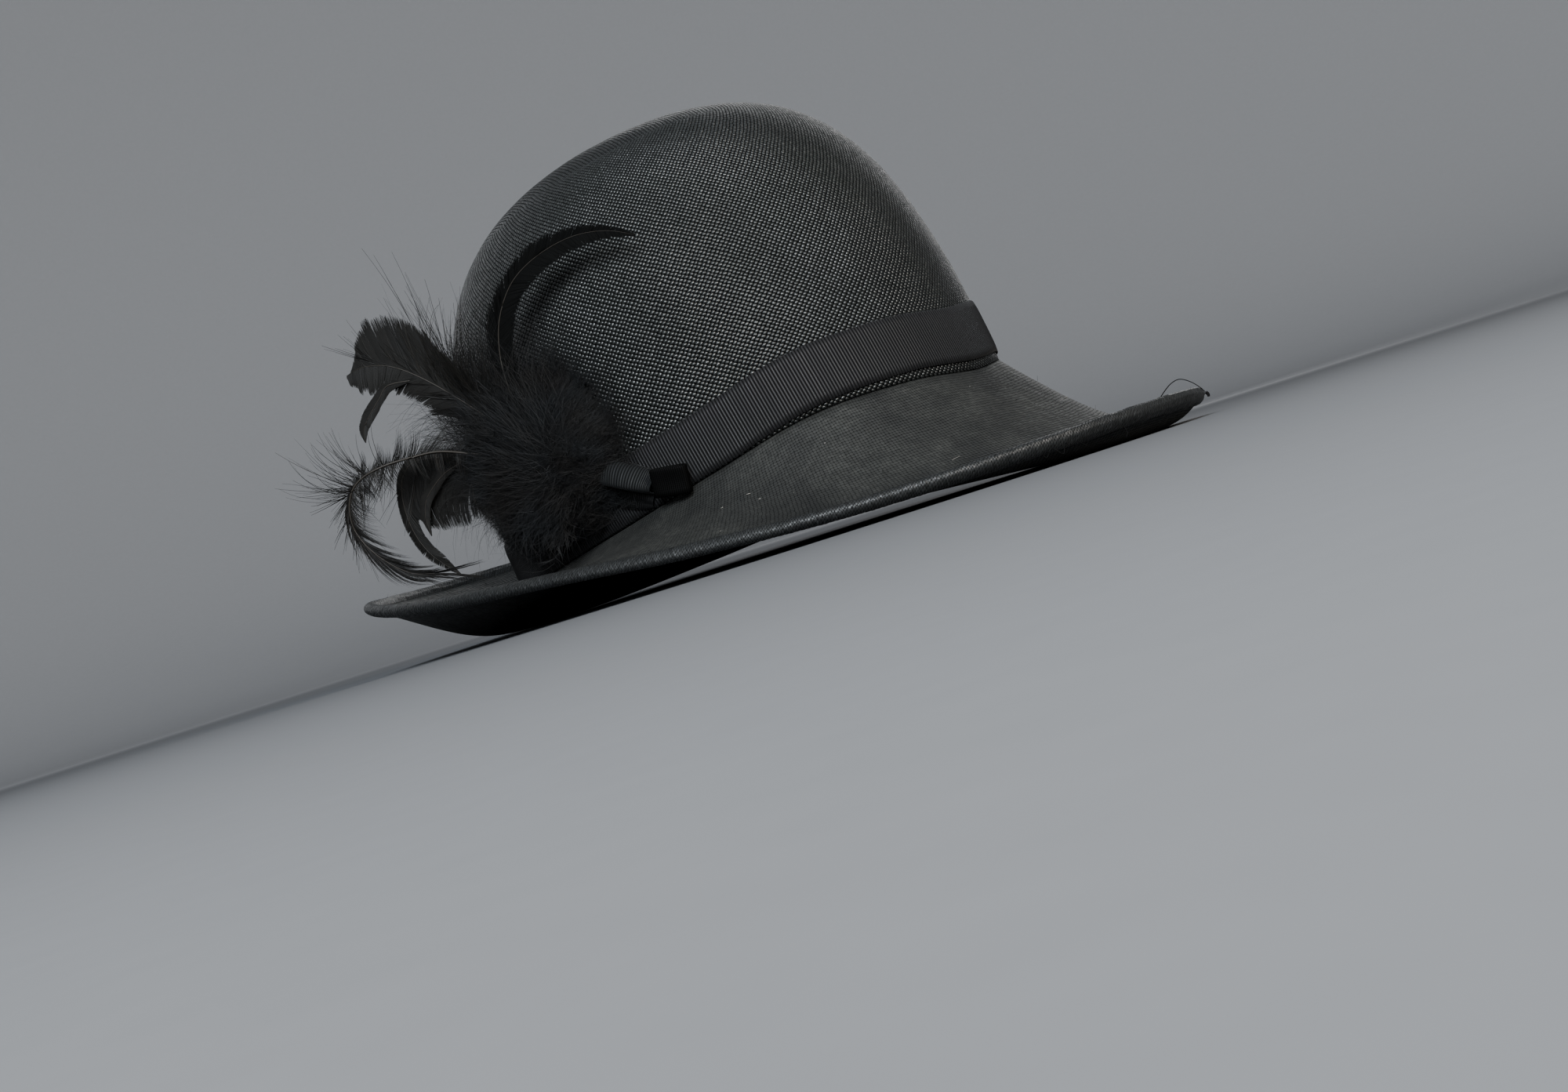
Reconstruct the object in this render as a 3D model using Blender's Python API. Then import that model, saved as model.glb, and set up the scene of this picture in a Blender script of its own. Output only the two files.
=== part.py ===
"""A black straw hat with a ribbon band, a small bow and a spray of feathers, standing on its brim.

The pieces are modelled in the crown's own frame: the crown's axis is +Z, the front is -Y and the
wearer's right side, which carries the bow and the feathers, is -X. Z = 0 is the line where the crown
meets the brim. An empty then leans that frame back, so that the brim's edge lies on the floor at Z = 0.
Lengths are in metres and angles in degrees.
"""
import math

import bmesh
import bpy
from mathutils import Vector

# Crown: an oval dome with nearly upright walls.
CROWN_LENGTH = 0.1938        # outside, front to back, where it meets the brim
CROWN_WIDTH = 0.1622         # outside, side to side
CROWN_HEIGHT = 0.129
CROWN_POWER = 3.0            # 2 is a plain ellipse, more is squarer at the shoulder
CROWN_WALL = 0.0016
CROWN_ROWS = 15

# Brim: one sheet of straw with a collar inside the crown and a rolled edge.
BRIM_WALL = 0.0018
BRIM_STEPS = 8
COLLAR_WALL = 0.0012
COLLAR_HEIGHT = 0.008
ROLL_HALF_WIDTH = 0.0032
ROLL_HALF_HEIGHT = 0.0024
ROLL_POINTS = 9

# The brim's shape, a row for each direction from the front round to the back; both sides are alike.
# join: height of the line where it leaves the crown; width and edge: how far out and how high its
# rolled edge is; leave and land: the sheet's slope at the crown and at the edge.
BRIM_COLUMNS = ("from_front", "join", "width", "edge", "leave", "land")
BRIM_SECTIONS = (
    (0, -0.0017, 0.0552, -0.0402, -55, 39),
    (22, 0.0014, 0.0527, -0.0384, -56, 33),
    (45, 0.0035, 0.0462, -0.0325, -54, 8),
    (68, 0.0004, 0.0400, -0.0221, -48, -22),
    (90, -0.0015, 0.0380, -0.0098, -38, -8),
    (120, -0.0010, 0.0434, 0.0059, -44, 24),
    (150, 0.0000, 0.0528, 0.0222, -42, 37),
    (180, 0.0000, 0.0572, 0.0268, -37, 41),
)

# Ribbon band round the foot of the crown.
BAND_WIDTH = 0.019
BAND_THICKNESS = 0.0008
BAND_RISE_FRONT = 0.0028     # how far its lower edge stands off the brim at the front
BAND_RISE_FADES_AT = 60      # and where, counted from the front, it comes down onto the brim

# Bow, on the wearer's right: a puffed loop behind and a small flat loop in front, both of ribbon.
BOW_RIBBON = 0.0009
PUFF_FROM_FRONT = -83.5
PUFF_HEIGHT = 0.0095
PUFF_SLANT = 35              # its front end is the lower one
PUFF_STAND_OFF = 0.0
PUFF_POINTS = 9
# The puff is a half barrel that opens towards the crown, a row for each section from its back end to
# its front. rake: how far the section's upper end lies behind the middle.
PUFF_SECTIONS = (
    # along, half height, depth, rake
    (-0.0096, 0.0076, 0.0054, 0.0028),
    (-0.0050, 0.0077, 0.0062, 0.0018),
    (0.0010, 0.0074, 0.0063, 0.0006),
    (0.0066, 0.0066, 0.0050, 0.0),
    (0.0092, 0.0058, 0.0032, 0.0),
)

LOOP_FROM_FRONT = -74.4
LOOP_HEIGHT = 0.0041
LOOP_SLANT = 17
LOOP_LEAN = 12               # its outer face looks down by this much
LOOP_STAND_OFF = 0.0034
LOOP_WIDTH = 0.0090          # the ribbon is folded in half here
LOOP_LENGTH = 0.0126
LOOP_DEPTH = 0.0050
LOOP_POINTS = 20

# Fluff: the downy mass at the feathers' foot, which hugs the band and the crown above it. Its outline
# runs round the crown's side from the bow's upper edge; the depth is how far it stands out.
FLUFF_FROM_FRONT = -103.0
FLUFF_MIDDLE = 0.030
FLUFF_EDGE = 0.0020
FLUFF_DEPTH = 0.0125
FLUFF_RINGS = 5
FLUFF_SPOKES_PER_ROW = 3
FLUFF_OUTLINE = (
    # from the front, height
    (-84.0, 0.0256),
    (-82.0, 0.0390),
    (-86.0, 0.0550),
    (-95.0, 0.0615),
    (-108.0, 0.0555),
    (-119.0, 0.0430),
    (-123.0, 0.0230),
    (-118.0, 0.0060),
    (-104.0, 0.0030),
    (-94.5, 0.0040),
    (-92.8, 0.0120),
    (-90.4, 0.0220),
)
POCKET_GAP = 0.0005          # round the feathers' feet, which sit in the fluff

# Feathers. They spring from a pin behind the bow, and each lies in an upright plane of its own, turned
# outwards from straight back. A row gives the quill's place in that plane, along and up, how far it
# stands out of it, and how far the vane reaches on its upper or outer and lower or inner side.
PIN = (-0.090, 0.0, 0.014)
QUILL_HALF_THICKNESS = 0.0009
VANE_HALF_THICKNESS = 0.0004
FEATHER_SECTIONS = 16
FEATHER_COLUMNS = ("along", "up", "out", "outer", "inner")
FEATHERS = {
    "sickle_feather": (15, (
        (0.0100, 0.0330, 0.0000, 0.0038, 0.0038),
        (0.0094, 0.0420, 0.0000, 0.0044, 0.0044),
        (0.0070, 0.0530, 0.0000, 0.0044, 0.0042),
        (0.0015, 0.0630, 0.0004, 0.0042, 0.0042),
        (-0.0075, 0.0708, 0.0004, 0.0042, 0.0040),
        (-0.0190, 0.0742, 0.0000, 0.0038, 0.0036),
        (-0.0320, 0.0742, -0.0010, 0.0030, 0.0026),
        (-0.0430, 0.0706, -0.0020, 0.0018, 0.0014),
        (-0.0510, 0.0650, -0.0030, 0.0005, 0.0005),
    )),
    "upper_plume": (25, (
        (0.0140, 0.0270, -0.0060, 0.0040, 0.0030),
        (0.0200, 0.0336, -0.0025, 0.0052, 0.0050),
        (0.0255, 0.0440, 0.0000, 0.0100, 0.0090),
        (0.0290, 0.0500, 0.0004, 0.0130, 0.0110),
        (0.0350, 0.0578, 0.0008, 0.0160, 0.0110),
        (0.0410, 0.0632, 0.0010, 0.0170, 0.0090),
        (0.0480, 0.0668, 0.0008, 0.0160, 0.0060),
        (0.0575, 0.0686, 0.0000, 0.0090, 0.0020),
    )),
    "curled_tip": (25, (
        (0.0420, 0.0570, 0.0028, 0.0014, 0.0014),
        (0.0480, 0.0590, 0.0030, 0.0024, 0.0024),
        (0.0540, 0.0558, 0.0030, 0.0024, 0.0024),
        (0.0590, 0.0510, 0.0028, 0.0020, 0.0020),
        (0.0620, 0.0460, 0.0024, 0.0004, 0.0004),
    )),
    "curled_feather": (30, (
        (0.0090, 0.0185, -0.0045, 0.0026, 0.0022),
        (0.0180, 0.0205, -0.0010, 0.0040, 0.0030),
        (0.0270, 0.0236, 0.0020, 0.0050, 0.0040),
        (0.0360, 0.0276, 0.0024, 0.0060, 0.0040),
        (0.0495, 0.0325, 0.0030, 0.0070, 0.0040),
        (0.0610, 0.0340, 0.0034, 0.0070, 0.0044),
        (0.0700, 0.0322, 0.0030, 0.0060, 0.0044),
        (0.0752, 0.0268, 0.0024, 0.0050, 0.0040),
        (0.0756, 0.0187, 0.0018, 0.0046, 0.0036),
        (0.0722, 0.0100, 0.0014, 0.0040, 0.0030),
        (0.0664, 0.0030, 0.0010, 0.0030, 0.0024),
        (0.0600, -0.0010, 0.0006, 0.0016, 0.0016),
        (0.0550, -0.0024, 0.0000, 0.0004, 0.0004),
    )),
    "lower_plume": (20, (
        (0.0100, 0.0090, -0.0040, 0.0018, 0.0034),
        (0.0190, 0.0140, -0.0015, 0.0020, 0.0070),
        (0.0285, 0.0190, 0.0000, 0.0020, 0.0110),
        (0.0370, 0.0245, 0.0000, 0.0024, 0.0150),
        (0.0450, 0.0285, 0.0004, 0.0024, 0.0150),
        (0.0530, 0.0302, 0.0006, 0.0026, 0.0110),
        (0.0590, 0.0272, 0.0008, 0.0030, 0.0056),
        (0.0608, 0.0205, 0.0008, 0.0030, 0.0038),
        (0.0606, 0.0120, 0.0004, 0.0026, 0.0030),
        (0.0578, 0.0035, 0.0000, 0.0020, 0.0022),
        (0.0530, -0.0055, -0.0004, 0.0003, 0.0003),
    )),
    "pointed_tip": (20, (
        (0.0400, 0.0240, 0.0024, 0.0012, 0.0012),
        (0.0470, 0.0215, 0.0025, 0.0020, 0.0020),
        (0.0520, 0.0170, 0.0026, 0.0020, 0.0020),
        (0.0545, 0.0125, 0.0025, 0.0016, 0.0016),
        (0.0545, 0.0070, 0.0022, 0.0003, 0.0003),
    )),
}

# How the hat stands: the crown leans back until the brim's edge lies on the floor.
LEAN_BACK = 9.1
AROUND = 60                  # facets round the crown, brim and band
GAP = 0.0003                 # left between neighbouring pieces

COLOURS = {
    "crown_straw": ((0.020, 0.022, 0.022, 1), 0.42),
    "brim_straw": ((0.016, 0.017, 0.017, 1), 0.62),
    "ribbon": ((0.012, 0.012, 0.013, 1), 0.58),
    "bow_ribbon": ((0.010, 0.011, 0.011, 1), 0.52),
    "feather": ((0.006, 0.006, 0.006, 1), 0.50),
    "down": ((0.005, 0.005, 0.006, 1), 0.90),
}


def clear_scene():
    for item in list(bpy.data.objects):
        bpy.data.objects.remove(item, do_unlink=True)


def material(name):
    found = bpy.data.materials.get(name)
    if found:
        return found
    colour, roughness = COLOURS[name]
    made = bpy.data.materials.new(name)
    made.use_nodes = True
    shader = made.node_tree.nodes["Principled BSDF"]
    shader.inputs["Base Color"].default_value = colour
    shader.inputs["Roughness"].default_value = roughness
    shader.inputs["Metallic"].default_value = 0.0
    return made


def empty(name, parent=None, location=(0, 0, 0), rotation=(0, 0, 0)):
    made = bpy.data.objects.new(name, None)
    bpy.context.collection.objects.link(made)
    made.parent = parent
    made.location = location
    made.rotation_euler = rotation
    return made


def solid(name, rings, slot, parent, wrap=False, rotation=(0, 0, 0)):
    """Skin a list of rings of points. wrap joins the last ring to the first; otherwise both ends close."""
    bm = bmesh.new()
    rows = [[bm.verts.new(point) for point in ring] for ring in rings]
    count = len(rows[0])
    pairs = list(zip(rows, rows[1:]))
    if wrap:
        pairs.append((rows[-1], rows[0]))
    for near, far in pairs:
        for i in range(count):
            j = (i + 1) % count
            bm.faces.new((near[i], near[j], far[j], far[i]))
    if not wrap:
        bm.faces.new(reversed(rows[0]))
        bm.faces.new(rows[-1])
    bmesh.ops.recalc_face_normals(bm, faces=bm.faces)
    bmesh.ops.triangulate(bm, faces=bm.faces)
    mesh = bpy.data.meshes.new(name)
    bm.to_mesh(mesh)
    bm.free()
    mesh.shade_smooth()
    mesh.set_sharp_from_angle(angle=math.radians(40))
    mesh.materials.append(material(slot))
    made = bpy.data.objects.new(name, mesh)
    bpy.context.collection.objects.link(made)
    made.parent = parent
    made.rotation_euler = rotation
    return made


def smooth_value(knots, values, at):
    """A smooth curve through values at knots, level at both ends."""
    slopes = [0.0] * len(knots)
    for i in range(1, len(knots) - 1):
        slopes[i] = (values[i + 1] - values[i - 1]) / (knots[i + 1] - knots[i - 1])
    at = min(max(at, knots[0]), knots[-1])
    i = max(k for k in range(len(knots) - 1) if knots[k] <= at)
    step = knots[i + 1] - knots[i]
    f = (at - knots[i]) / step
    return (values[i] * (1 + 2 * f) * (1 - f) ** 2 + values[i + 1] * (3 - 2 * f) * f * f
            + step * slopes[i] * f * (1 - f) ** 2 + step * slopes[i + 1] * (f - 1) * f * f)


def brim_value(column, from_front):
    """A column of the brim's table in any direction; the table runs down one side of the hat."""
    folded = abs((from_front + 180) % 360 - 180)
    knots = [row[0] for row in BRIM_SECTIONS]
    values = [row[BRIM_COLUMNS.index(column)] for row in BRIM_SECTIONS]
    return smooth_value(knots, values, folded)


def between_rows(table, column, place):
    """A column of a table at a place counted in rows, on a smooth curve through the rows."""
    last = len(table) - 1
    i = min(int(place), last - 1)
    f = place - i
    a, b, c, d = (table[min(max(k, 0), last)][column] for k in (i - 1, i, i + 1, i + 2))
    return 0.5 * (2 * b + (c - a) * f + (2 * a - 5 * b + 4 * c - d) * f * f
                  + (3 * b - a - 3 * c + d) * f ** 3)


def crown_scale(height):
    """How much narrower the crown is at a height than at its foot."""
    share = min(max(height / CROWN_HEIGHT, 0.0), 1.0)
    return (1 - share ** CROWN_POWER) ** (1 / CROWN_POWER)


def oval(from_front, scale=1.0):
    """The point of the crown's oval in a direction, and the level direction straight out from it."""
    t = math.radians(from_front)
    half_w, half_l = CROWN_WIDTH / 2, CROWN_LENGTH / 2
    point = Vector((half_w * math.sin(t), -half_l * math.cos(t), 0)) * scale
    out = Vector((half_l * math.sin(t), -half_w * math.cos(t), 0)).normalized()
    return point, out


def beside_crown(from_front, height, off):
    """A point off the crown's side by a distance."""
    point, out = oval(from_front, crown_scale(height))
    return point + out * off + Vector((0, 0, height))


def directions():
    return [360 * k / AROUND for k in range(AROUND)]


def make_crown(parent):
    """The dome: its outside as a grid with one point at the top, then a wall grown inwards."""
    bm = bmesh.new()
    rows = []
    for row in range(CROWN_ROWS):
        rise = math.radians(90) * row / CROWN_ROWS
        reach = math.cos(rise) ** (2 / CROWN_POWER)
        share = math.sin(rise) ** (2 / CROWN_POWER)
        ring = []
        for from_front in directions():
            point, _ = oval(from_front, reach)
            foot = brim_value("join", from_front) + GAP
            point.z = CROWN_HEIGHT * share + foot * (1 - share)
            ring.append(bm.verts.new(point))
        rows.append(ring)
    for low, high in zip(rows, rows[1:]):
        for i in range(AROUND):
            j = (i + 1) % AROUND
            bm.faces.new((low[i], low[j], high[j], high[i]))
    top = bm.verts.new((0, 0, CROWN_HEIGHT))
    for i in range(AROUND):
        bm.faces.new((rows[-1][i], rows[-1][(i + 1) % AROUND], top))
    bmesh.ops.recalc_face_normals(bm, faces=bm.faces)
    bmesh.ops.triangulate(bm, faces=bm.faces)
    mesh = bpy.data.meshes.new("crown")
    bm.to_mesh(mesh)
    bm.free()
    mesh.shade_smooth()
    mesh.materials.append(material("crown_straw"))
    crown = bpy.data.objects.new("crown", mesh)
    bpy.context.collection.objects.link(crown)
    crown.parent = parent
    wall = crown.modifiers.new("wall", "SOLIDIFY")
    wall.thickness = CROWN_WALL
    wall.offset = -1
    wall.use_even_offset = True


def brim_profile(from_front):
    """The brim cut open in one direction: points (out from the crown's foot, height), as a closed loop."""
    join, width, edge = (brim_value(name, from_front) for name in ("join", "width", "edge"))
    leave = math.tan(math.radians(brim_value("leave", from_front))) * width
    land = math.tan(math.radians(brim_value("land", from_front))) * width

    def sheet(s):
        height = (join * (1 + 2 * s) * (1 - s) ** 2 + edge * (3 - 2 * s) * s * s
                  + leave * s * (1 - s) ** 2 + land * (s - 1) * s * s)
        slope = (6 * s * (s - 1) * (join - edge) + leave * (1 - s) * (1 - 3 * s)
                 + land * s * (3 * s - 2)) / width
        along = Vector((1, slope)).normalized()
        return Vector((width * s, height)), along

    stop = 1 - ROLL_HALF_WIDTH / width
    top, under = [], []
    for k in range(BRIM_STEPS + 1):
        point, along = sheet(stop * k / BRIM_STEPS)
        top.append(point)
        under.append(point + Vector((along.y, -along.x)) * BRIM_WALL)
    tip, along = sheet(1)
    down = Vector((along.y, -along.x))
    middle = tip + down * BRIM_WALL / 2
    open_angle = math.pi - math.asin(BRIM_WALL / 2 / ROLL_HALF_HEIGHT)
    roll = []
    for k in range(ROLL_POINTS):
        turn = open_angle - 2 * open_angle * k / (ROLL_POINTS - 1)
        roll.append(middle + along * ROLL_HALF_WIDTH * math.cos(turn)
                    - down * ROLL_HALF_HEIGHT * math.sin(turn))
    collar_out = -CROWN_WALL - 1.4 * GAP
    collar_in = collar_out - COLLAR_WALL
    collar = [Vector((collar_in, join + COLLAR_HEIGHT)), Vector((collar_out, join + COLLAR_HEIGHT)),
              Vector((collar_out, join))]
    foot = Vector((collar_in, under[0].y))
    return collar + top[:-1] + roll + under[-2::-1] + [foot]


def make_brim(parent):
    rings = []
    for from_front in directions():
        foot, out = oval(from_front)
        rings.append([foot + out * p.x + Vector((0, 0, p.y)) for p in brim_profile(from_front)])
    solid("brim", rings, "brim_straw", parent, wrap=True)


def band_foot(from_front):
    """Height of the band's lower edge."""
    folded = abs((from_front + 180) % 360 - 180)
    fade = max(0.0, 1 - folded / BAND_RISE_FADES_AT)
    rise = BAND_RISE_FRONT * fade * (2 - fade)
    return brim_value("join", from_front) + 2 * GAP + rise


def make_band(parent):
    """The ribbon, a thin upright strip that follows the crown."""
    rings = []
    for from_front in directions():
        low = band_foot(from_front)
        heights = (low, low + BAND_WIDTH / 2, low + BAND_WIDTH)
        inner = [beside_crown(from_front, z, GAP) for z in heights]
        outer = [beside_crown(from_front, z, GAP + BAND_THICKNESS) for z in heights]
        rings.append(inner + outer[::-1])
    solid("hat_band", rings, "ribbon", parent, wrap=True)


def seat_on_band(name, parent, from_front, height, stand_off, slant, lean=0):
    """An empty on the band's face: X straight out, Y forward, Z up, its front then lowered by the slant
    and its top leant outwards."""
    spot = beside_crown(from_front, height, 2 * GAP + BAND_THICKNESS + stand_off)
    _, out = oval(from_front)
    facing = empty(name + "_seat", parent, spot, (0, 0, math.atan2(out.y, out.x)))
    return empty(name + "_tilt", facing, rotation=(math.radians(-slant), math.radians(lean), 0))


def make_puff(parent):
    """The bow's back loop: ribbon bent into a half barrel, with its wall as thick as the ribbon."""
    seat = seat_on_band("bow_back_loop", parent, PUFF_FROM_FRONT, PUFF_HEIGHT, PUFF_STAND_OFF, PUFF_SLANT)
    rings = []
    for along, half_height, depth, rake in PUFF_SECTIONS:
        outer, inner = [], []
        for k in range(PUFF_POINTS):
            turn = math.pi * (k / (PUFF_POINTS - 1) - 0.5)
            ahead = along - rake * math.sin(turn)
            outer.append((depth * math.cos(turn), ahead, half_height * math.sin(turn)))
            inner.append(((depth - BOW_RIBBON) * math.cos(turn), ahead,
                          (half_height - BOW_RIBBON) * math.sin(turn)))
        rings.append(outer + inner[::-1])
    solid("bow_back_loop", rings, "bow_ribbon", seat)


def make_loop(parent):
    """The bow's front loop: ribbon carried round a flat oval, a little fuller at its closed front end."""
    seat = seat_on_band("bow_front_loop", parent, LOOP_FROM_FRONT, LOOP_HEIGHT, LOOP_STAND_OFF,
                        LOOP_SLANT, LOOP_LEAN)
    rings = []
    for k in range(LOOP_POINTS):
        turn = 2 * math.pi * k / LOOP_POINTS
        flat = math.copysign(abs(math.cos(turn)) ** 0.8, math.cos(turn))
        full = math.copysign(abs(math.sin(turn)) ** 0.6, math.sin(turn)) * (1 + 0.15 * flat)
        ring = []
        for grow, up in ((0, 1), (-BOW_RIBBON, 1), (-BOW_RIBBON, -1), (0, -1)):
            ring.append(((LOOP_DEPTH / 2 + grow) * full, (LOOP_LENGTH / 2 + grow) * flat,
                         up * LOOP_WIDTH / 2))
        rings.append(ring)
    solid("bow_front_loop", rings, "bow_ribbon", seat, wrap=True)


def make_fluff(parent):
    """A cushion that follows the crown's side: its back face, then its front, ring by ring."""
    rows = len(FLUFF_OUTLINE)
    spokes = rows * FLUFF_SPOKES_PER_ROW
    looped = [FLUFF_OUTLINE[(k - 1) % rows] for k in range(rows + 3)]
    outline = [[between_rows(looped, column, 1 + k / FLUFF_SPOKES_PER_ROW) for column in (0, 1)]
               for k in range(spokes)]

    def place(share, spoke, off):
        from_front, height = outline[spoke]
        return beside_crown(FLUFF_FROM_FRONT + (from_front - FLUFF_FROM_FRONT) * share,
                            FLUFF_MIDDLE + (height - FLUFF_MIDDLE) * share, off)

    against_band = 2.5 * GAP + BAND_THICKNESS
    rings = []
    for k in range(1, FLUFF_RINGS + 1):
        rings.append([place(k / FLUFF_RINGS, spoke, against_band) for spoke in range(spokes)])
    for k in range(FLUFF_RINGS, 0, -1):
        share = k / FLUFF_RINGS
        depth = FLUFF_EDGE + FLUFF_DEPTH * (1 - share * share) ** 0.6
        rings.append([place(share, spoke, against_band + depth) for spoke in range(spokes)])
    return solid("plume_fluff", rings, "down", parent)


def make_feather(name, turned_out, table, pin, grow=0.0):
    """A blade: a flat six-sided section carried along the quill, thick at the quill, thin at the edges.
    grow swells it all round, for the pocket that the feather's foot sits in."""
    last = len(table) - 1
    along_at, up_at, out_at, outer_at, inner_at = range(len(FEATHER_COLUMNS))
    thick = Vector((0, 1, 0))

    def quill(row):
        return Vector([between_rows(table, column, row) for column in (along_at, out_at, up_at)])

    rings = []
    for k in range(FEATHER_SECTIONS + 1):
        row = last * k / FEATHER_SECTIONS
        ahead = (quill(min(row + 0.05, last)) - quill(max(row - 0.05, 0))).normalized()
        across = thick.cross(ahead).normalized()
        outer = -across * (max(between_rows(table, outer_at, row), 0.0003) + grow)
        inner = across * (max(between_rows(table, inner_at, row), 0.0003) + grow)
        taper = 1 - 0.6 * k / FEATHER_SECTIONS
        quill_skin = thick * (QUILL_HALF_THICKNESS * taper + grow)
        edge_skin = thick * (VANE_HALF_THICKNESS * taper + grow)
        here = quill(row)
        if k == 0:
            here = here - ahead * grow
        rings.append([here + outer + edge_skin, here + quill_skin, here + inner + edge_skin,
                      here + inner - edge_skin, here - quill_skin, here + outer - edge_skin])
    return solid(name, rings, "feather", pin, rotation=(0, 0, math.radians(90 + turned_out)))


def cut_pocket(fluff, cutter):
    cutter.hide_render = True
    cutter.display_type = "WIRE"
    pocket = fluff.modifiers.new(cutter.name, "BOOLEAN")
    pocket.operation = "DIFFERENCE"
    pocket.object = cutter


def stand_on_floor(frame):
    """Move the leaning frame so that the hat's box is centred on the origin and its lowest point is at 0."""
    bpy.context.view_layer.update()
    graph = bpy.context.evaluated_depsgraph_get()
    low, high = Vector((1, 1, 1)), Vector((-1, -1, -1))
    for item in bpy.context.scene.objects:
        if item.type != "MESH" or item.hide_render:
            continue
        shown = item.evaluated_get(graph)
        for vertex in shown.data.vertices:
            world = shown.matrix_world @ vertex.co
            low = Vector(map(min, low, world))
            high = Vector(map(max, high, world))
    frame.location = (-(low.x + high.x) / 2, -(low.y + high.y) / 2, -low.z)


def main():
    clear_scene()
    frame = empty("crown_frame", rotation=(math.radians(-LEAN_BACK), 0, 0))
    make_crown(frame)
    make_brim(frame)
    make_band(frame)
    make_puff(frame)
    make_loop(frame)
    fluff = make_fluff(frame)
    pin = empty("feather_pin", frame, PIN)
    for name, (turned_out, table) in FEATHERS.items():
        make_feather(name, turned_out, table, pin)
        cut_pocket(fluff, make_feather(name + "_pocket", turned_out, table, pin, POCKET_GAP))
    stand_on_floor(frame)


main()
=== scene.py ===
import math
import random

import bpy
from mathutils import Matrix, Vector, noise


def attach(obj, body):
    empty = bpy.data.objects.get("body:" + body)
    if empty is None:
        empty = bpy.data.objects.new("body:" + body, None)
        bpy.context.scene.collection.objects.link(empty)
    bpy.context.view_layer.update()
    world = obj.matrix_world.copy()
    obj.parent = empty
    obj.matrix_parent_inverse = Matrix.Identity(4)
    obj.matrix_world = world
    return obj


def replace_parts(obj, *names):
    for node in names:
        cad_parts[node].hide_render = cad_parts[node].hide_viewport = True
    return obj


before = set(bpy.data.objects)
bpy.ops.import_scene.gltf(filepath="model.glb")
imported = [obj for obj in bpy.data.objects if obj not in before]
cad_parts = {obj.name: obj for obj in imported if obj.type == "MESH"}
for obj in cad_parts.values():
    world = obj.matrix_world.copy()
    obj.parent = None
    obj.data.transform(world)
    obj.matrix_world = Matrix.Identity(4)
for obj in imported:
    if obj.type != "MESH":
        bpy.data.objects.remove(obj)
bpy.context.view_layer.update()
print("frame loaded")

# The hat's driving sizes, in metres and degrees. Every piece is laid out in the crown's own frame: its
# axis is up, the front is -Y, the wearer's right is -X and the line where crown and brim meet is near Z = 0.
hat = {
    "crownLength": 0.1938,
    "crownWidth": 0.1622,
    "crownHeight": 0.129,
    "crownPower": 3.0,       # 2 is a plain ellipse, more is squarer at the shoulder
    "leanBack": 9.1,         # how the hat rests on its brim
    "gap": 0.0003,           # left between neighbouring pieces
}

# The brim, a row for each direction from the front round to the back; both sides are alike. Join and edge
# are heights, at the crown and at the rim, and leave and land are the slopes there, in degrees.
brimColumns = ("fromFront", "join", "width", "edge", "leave", "land")
brimRows = (
    (0, -0.0017, 0.0552, -0.0402, -55, 39),
    (22, 0.0014, 0.0527, -0.0384, -56, 33),
    (45, 0.0035, 0.0462, -0.0325, -54, 8),
    (68, 0.0004, 0.0400, -0.0221, -48, -22),
    (90, -0.0015, 0.0380, -0.0098, -38, -8),
    (120, -0.0010, 0.0434, 0.0059, -44, 24),
    (150, 0.0000, 0.0528, 0.0222, -42, 37),
    (180, 0.0000, 0.0572, 0.0268, -37, 41),
)


def smoothValue(knots, values, at):
    slopes = [0.0] * len(knots)
    for i in range(1, len(knots) - 1):
        slopes[i] = (values[i + 1] - values[i - 1]) / (knots[i + 1] - knots[i - 1])
    at = min(max(at, knots[0]), knots[-1])
    i = max(k for k in range(len(knots) - 1) if knots[k] <= at)
    step = knots[i + 1] - knots[i]
    f = (at - knots[i]) / step
    return (values[i] * (1 + 2 * f) * (1 - f) ** 2 + values[i + 1] * (3 - 2 * f) * f * f
            + step * slopes[i] * f * (1 - f) ** 2 + step * slopes[i + 1] * (f - 1) * f * f)


def folded(fromFront):
    return abs((fromFront + 180) % 360 - 180)


def brimValue(column, fromFront):
    knots = [row[0] for row in brimRows]
    values = [row[brimColumns.index(column)] for row in brimRows]
    return smoothValue(knots, values, folded(fromFront))


def betweenRows(table, column, place):
    last = len(table) - 1
    i = max(0, min(int(place), last - 1))
    f = place - i
    a, b, c, d = (table[min(max(k, 0), last)][column] for k in (i - 1, i, i + 1, i + 2))
    return 0.5 * (2 * b + (c - a) * f + (2 * a - 5 * b + 4 * c - d) * f * f
                  + (3 * b - a - 3 * c + d) * f ** 3)


def clamp01(value):
    return min(max(value, 0.0), 1.0)


def easeBetween(low, high, value):
    share = clamp01((value - low) / (high - low))
    return share * share * (3 - 2 * share)


def alongRows(table, share):
    # Every column of the table, a share of the way down its rows.
    place = clamp01(share) * (len(table) - 1)
    return [betweenRows(table, column, place) for column in range(len(table[0]))]


def runAlong(points):
    # How far along the line each of its points lies.
    run = [0.0]
    for a, b in zip(points, points[1:]):
        run.append(run[-1] + (b - a).length)
    return run


def roundTheHat(spotAt, steps=720):
    # A closed line in even steps of angle, from the front and back to it.
    line = [spotAt(360 * k / steps) for k in range(steps)]
    return line + line[:1]


def crownScale(height):
    share = clamp01(height / hat["crownHeight"])
    return (1 - share ** hat["crownPower"]) ** (1 / hat["crownPower"])


def oval(fromFront, scale=1.0):
    t = math.radians(fromFront)
    halfWidth, halfLength = hat["crownWidth"] / 2, hat["crownLength"] / 2
    point = Vector((halfWidth * math.sin(t), -halfLength * math.cos(t), 0)) * scale
    out = Vector((halfLength * math.sin(t), -halfWidth * math.cos(t), 0)).normalized()
    return point, out


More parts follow.
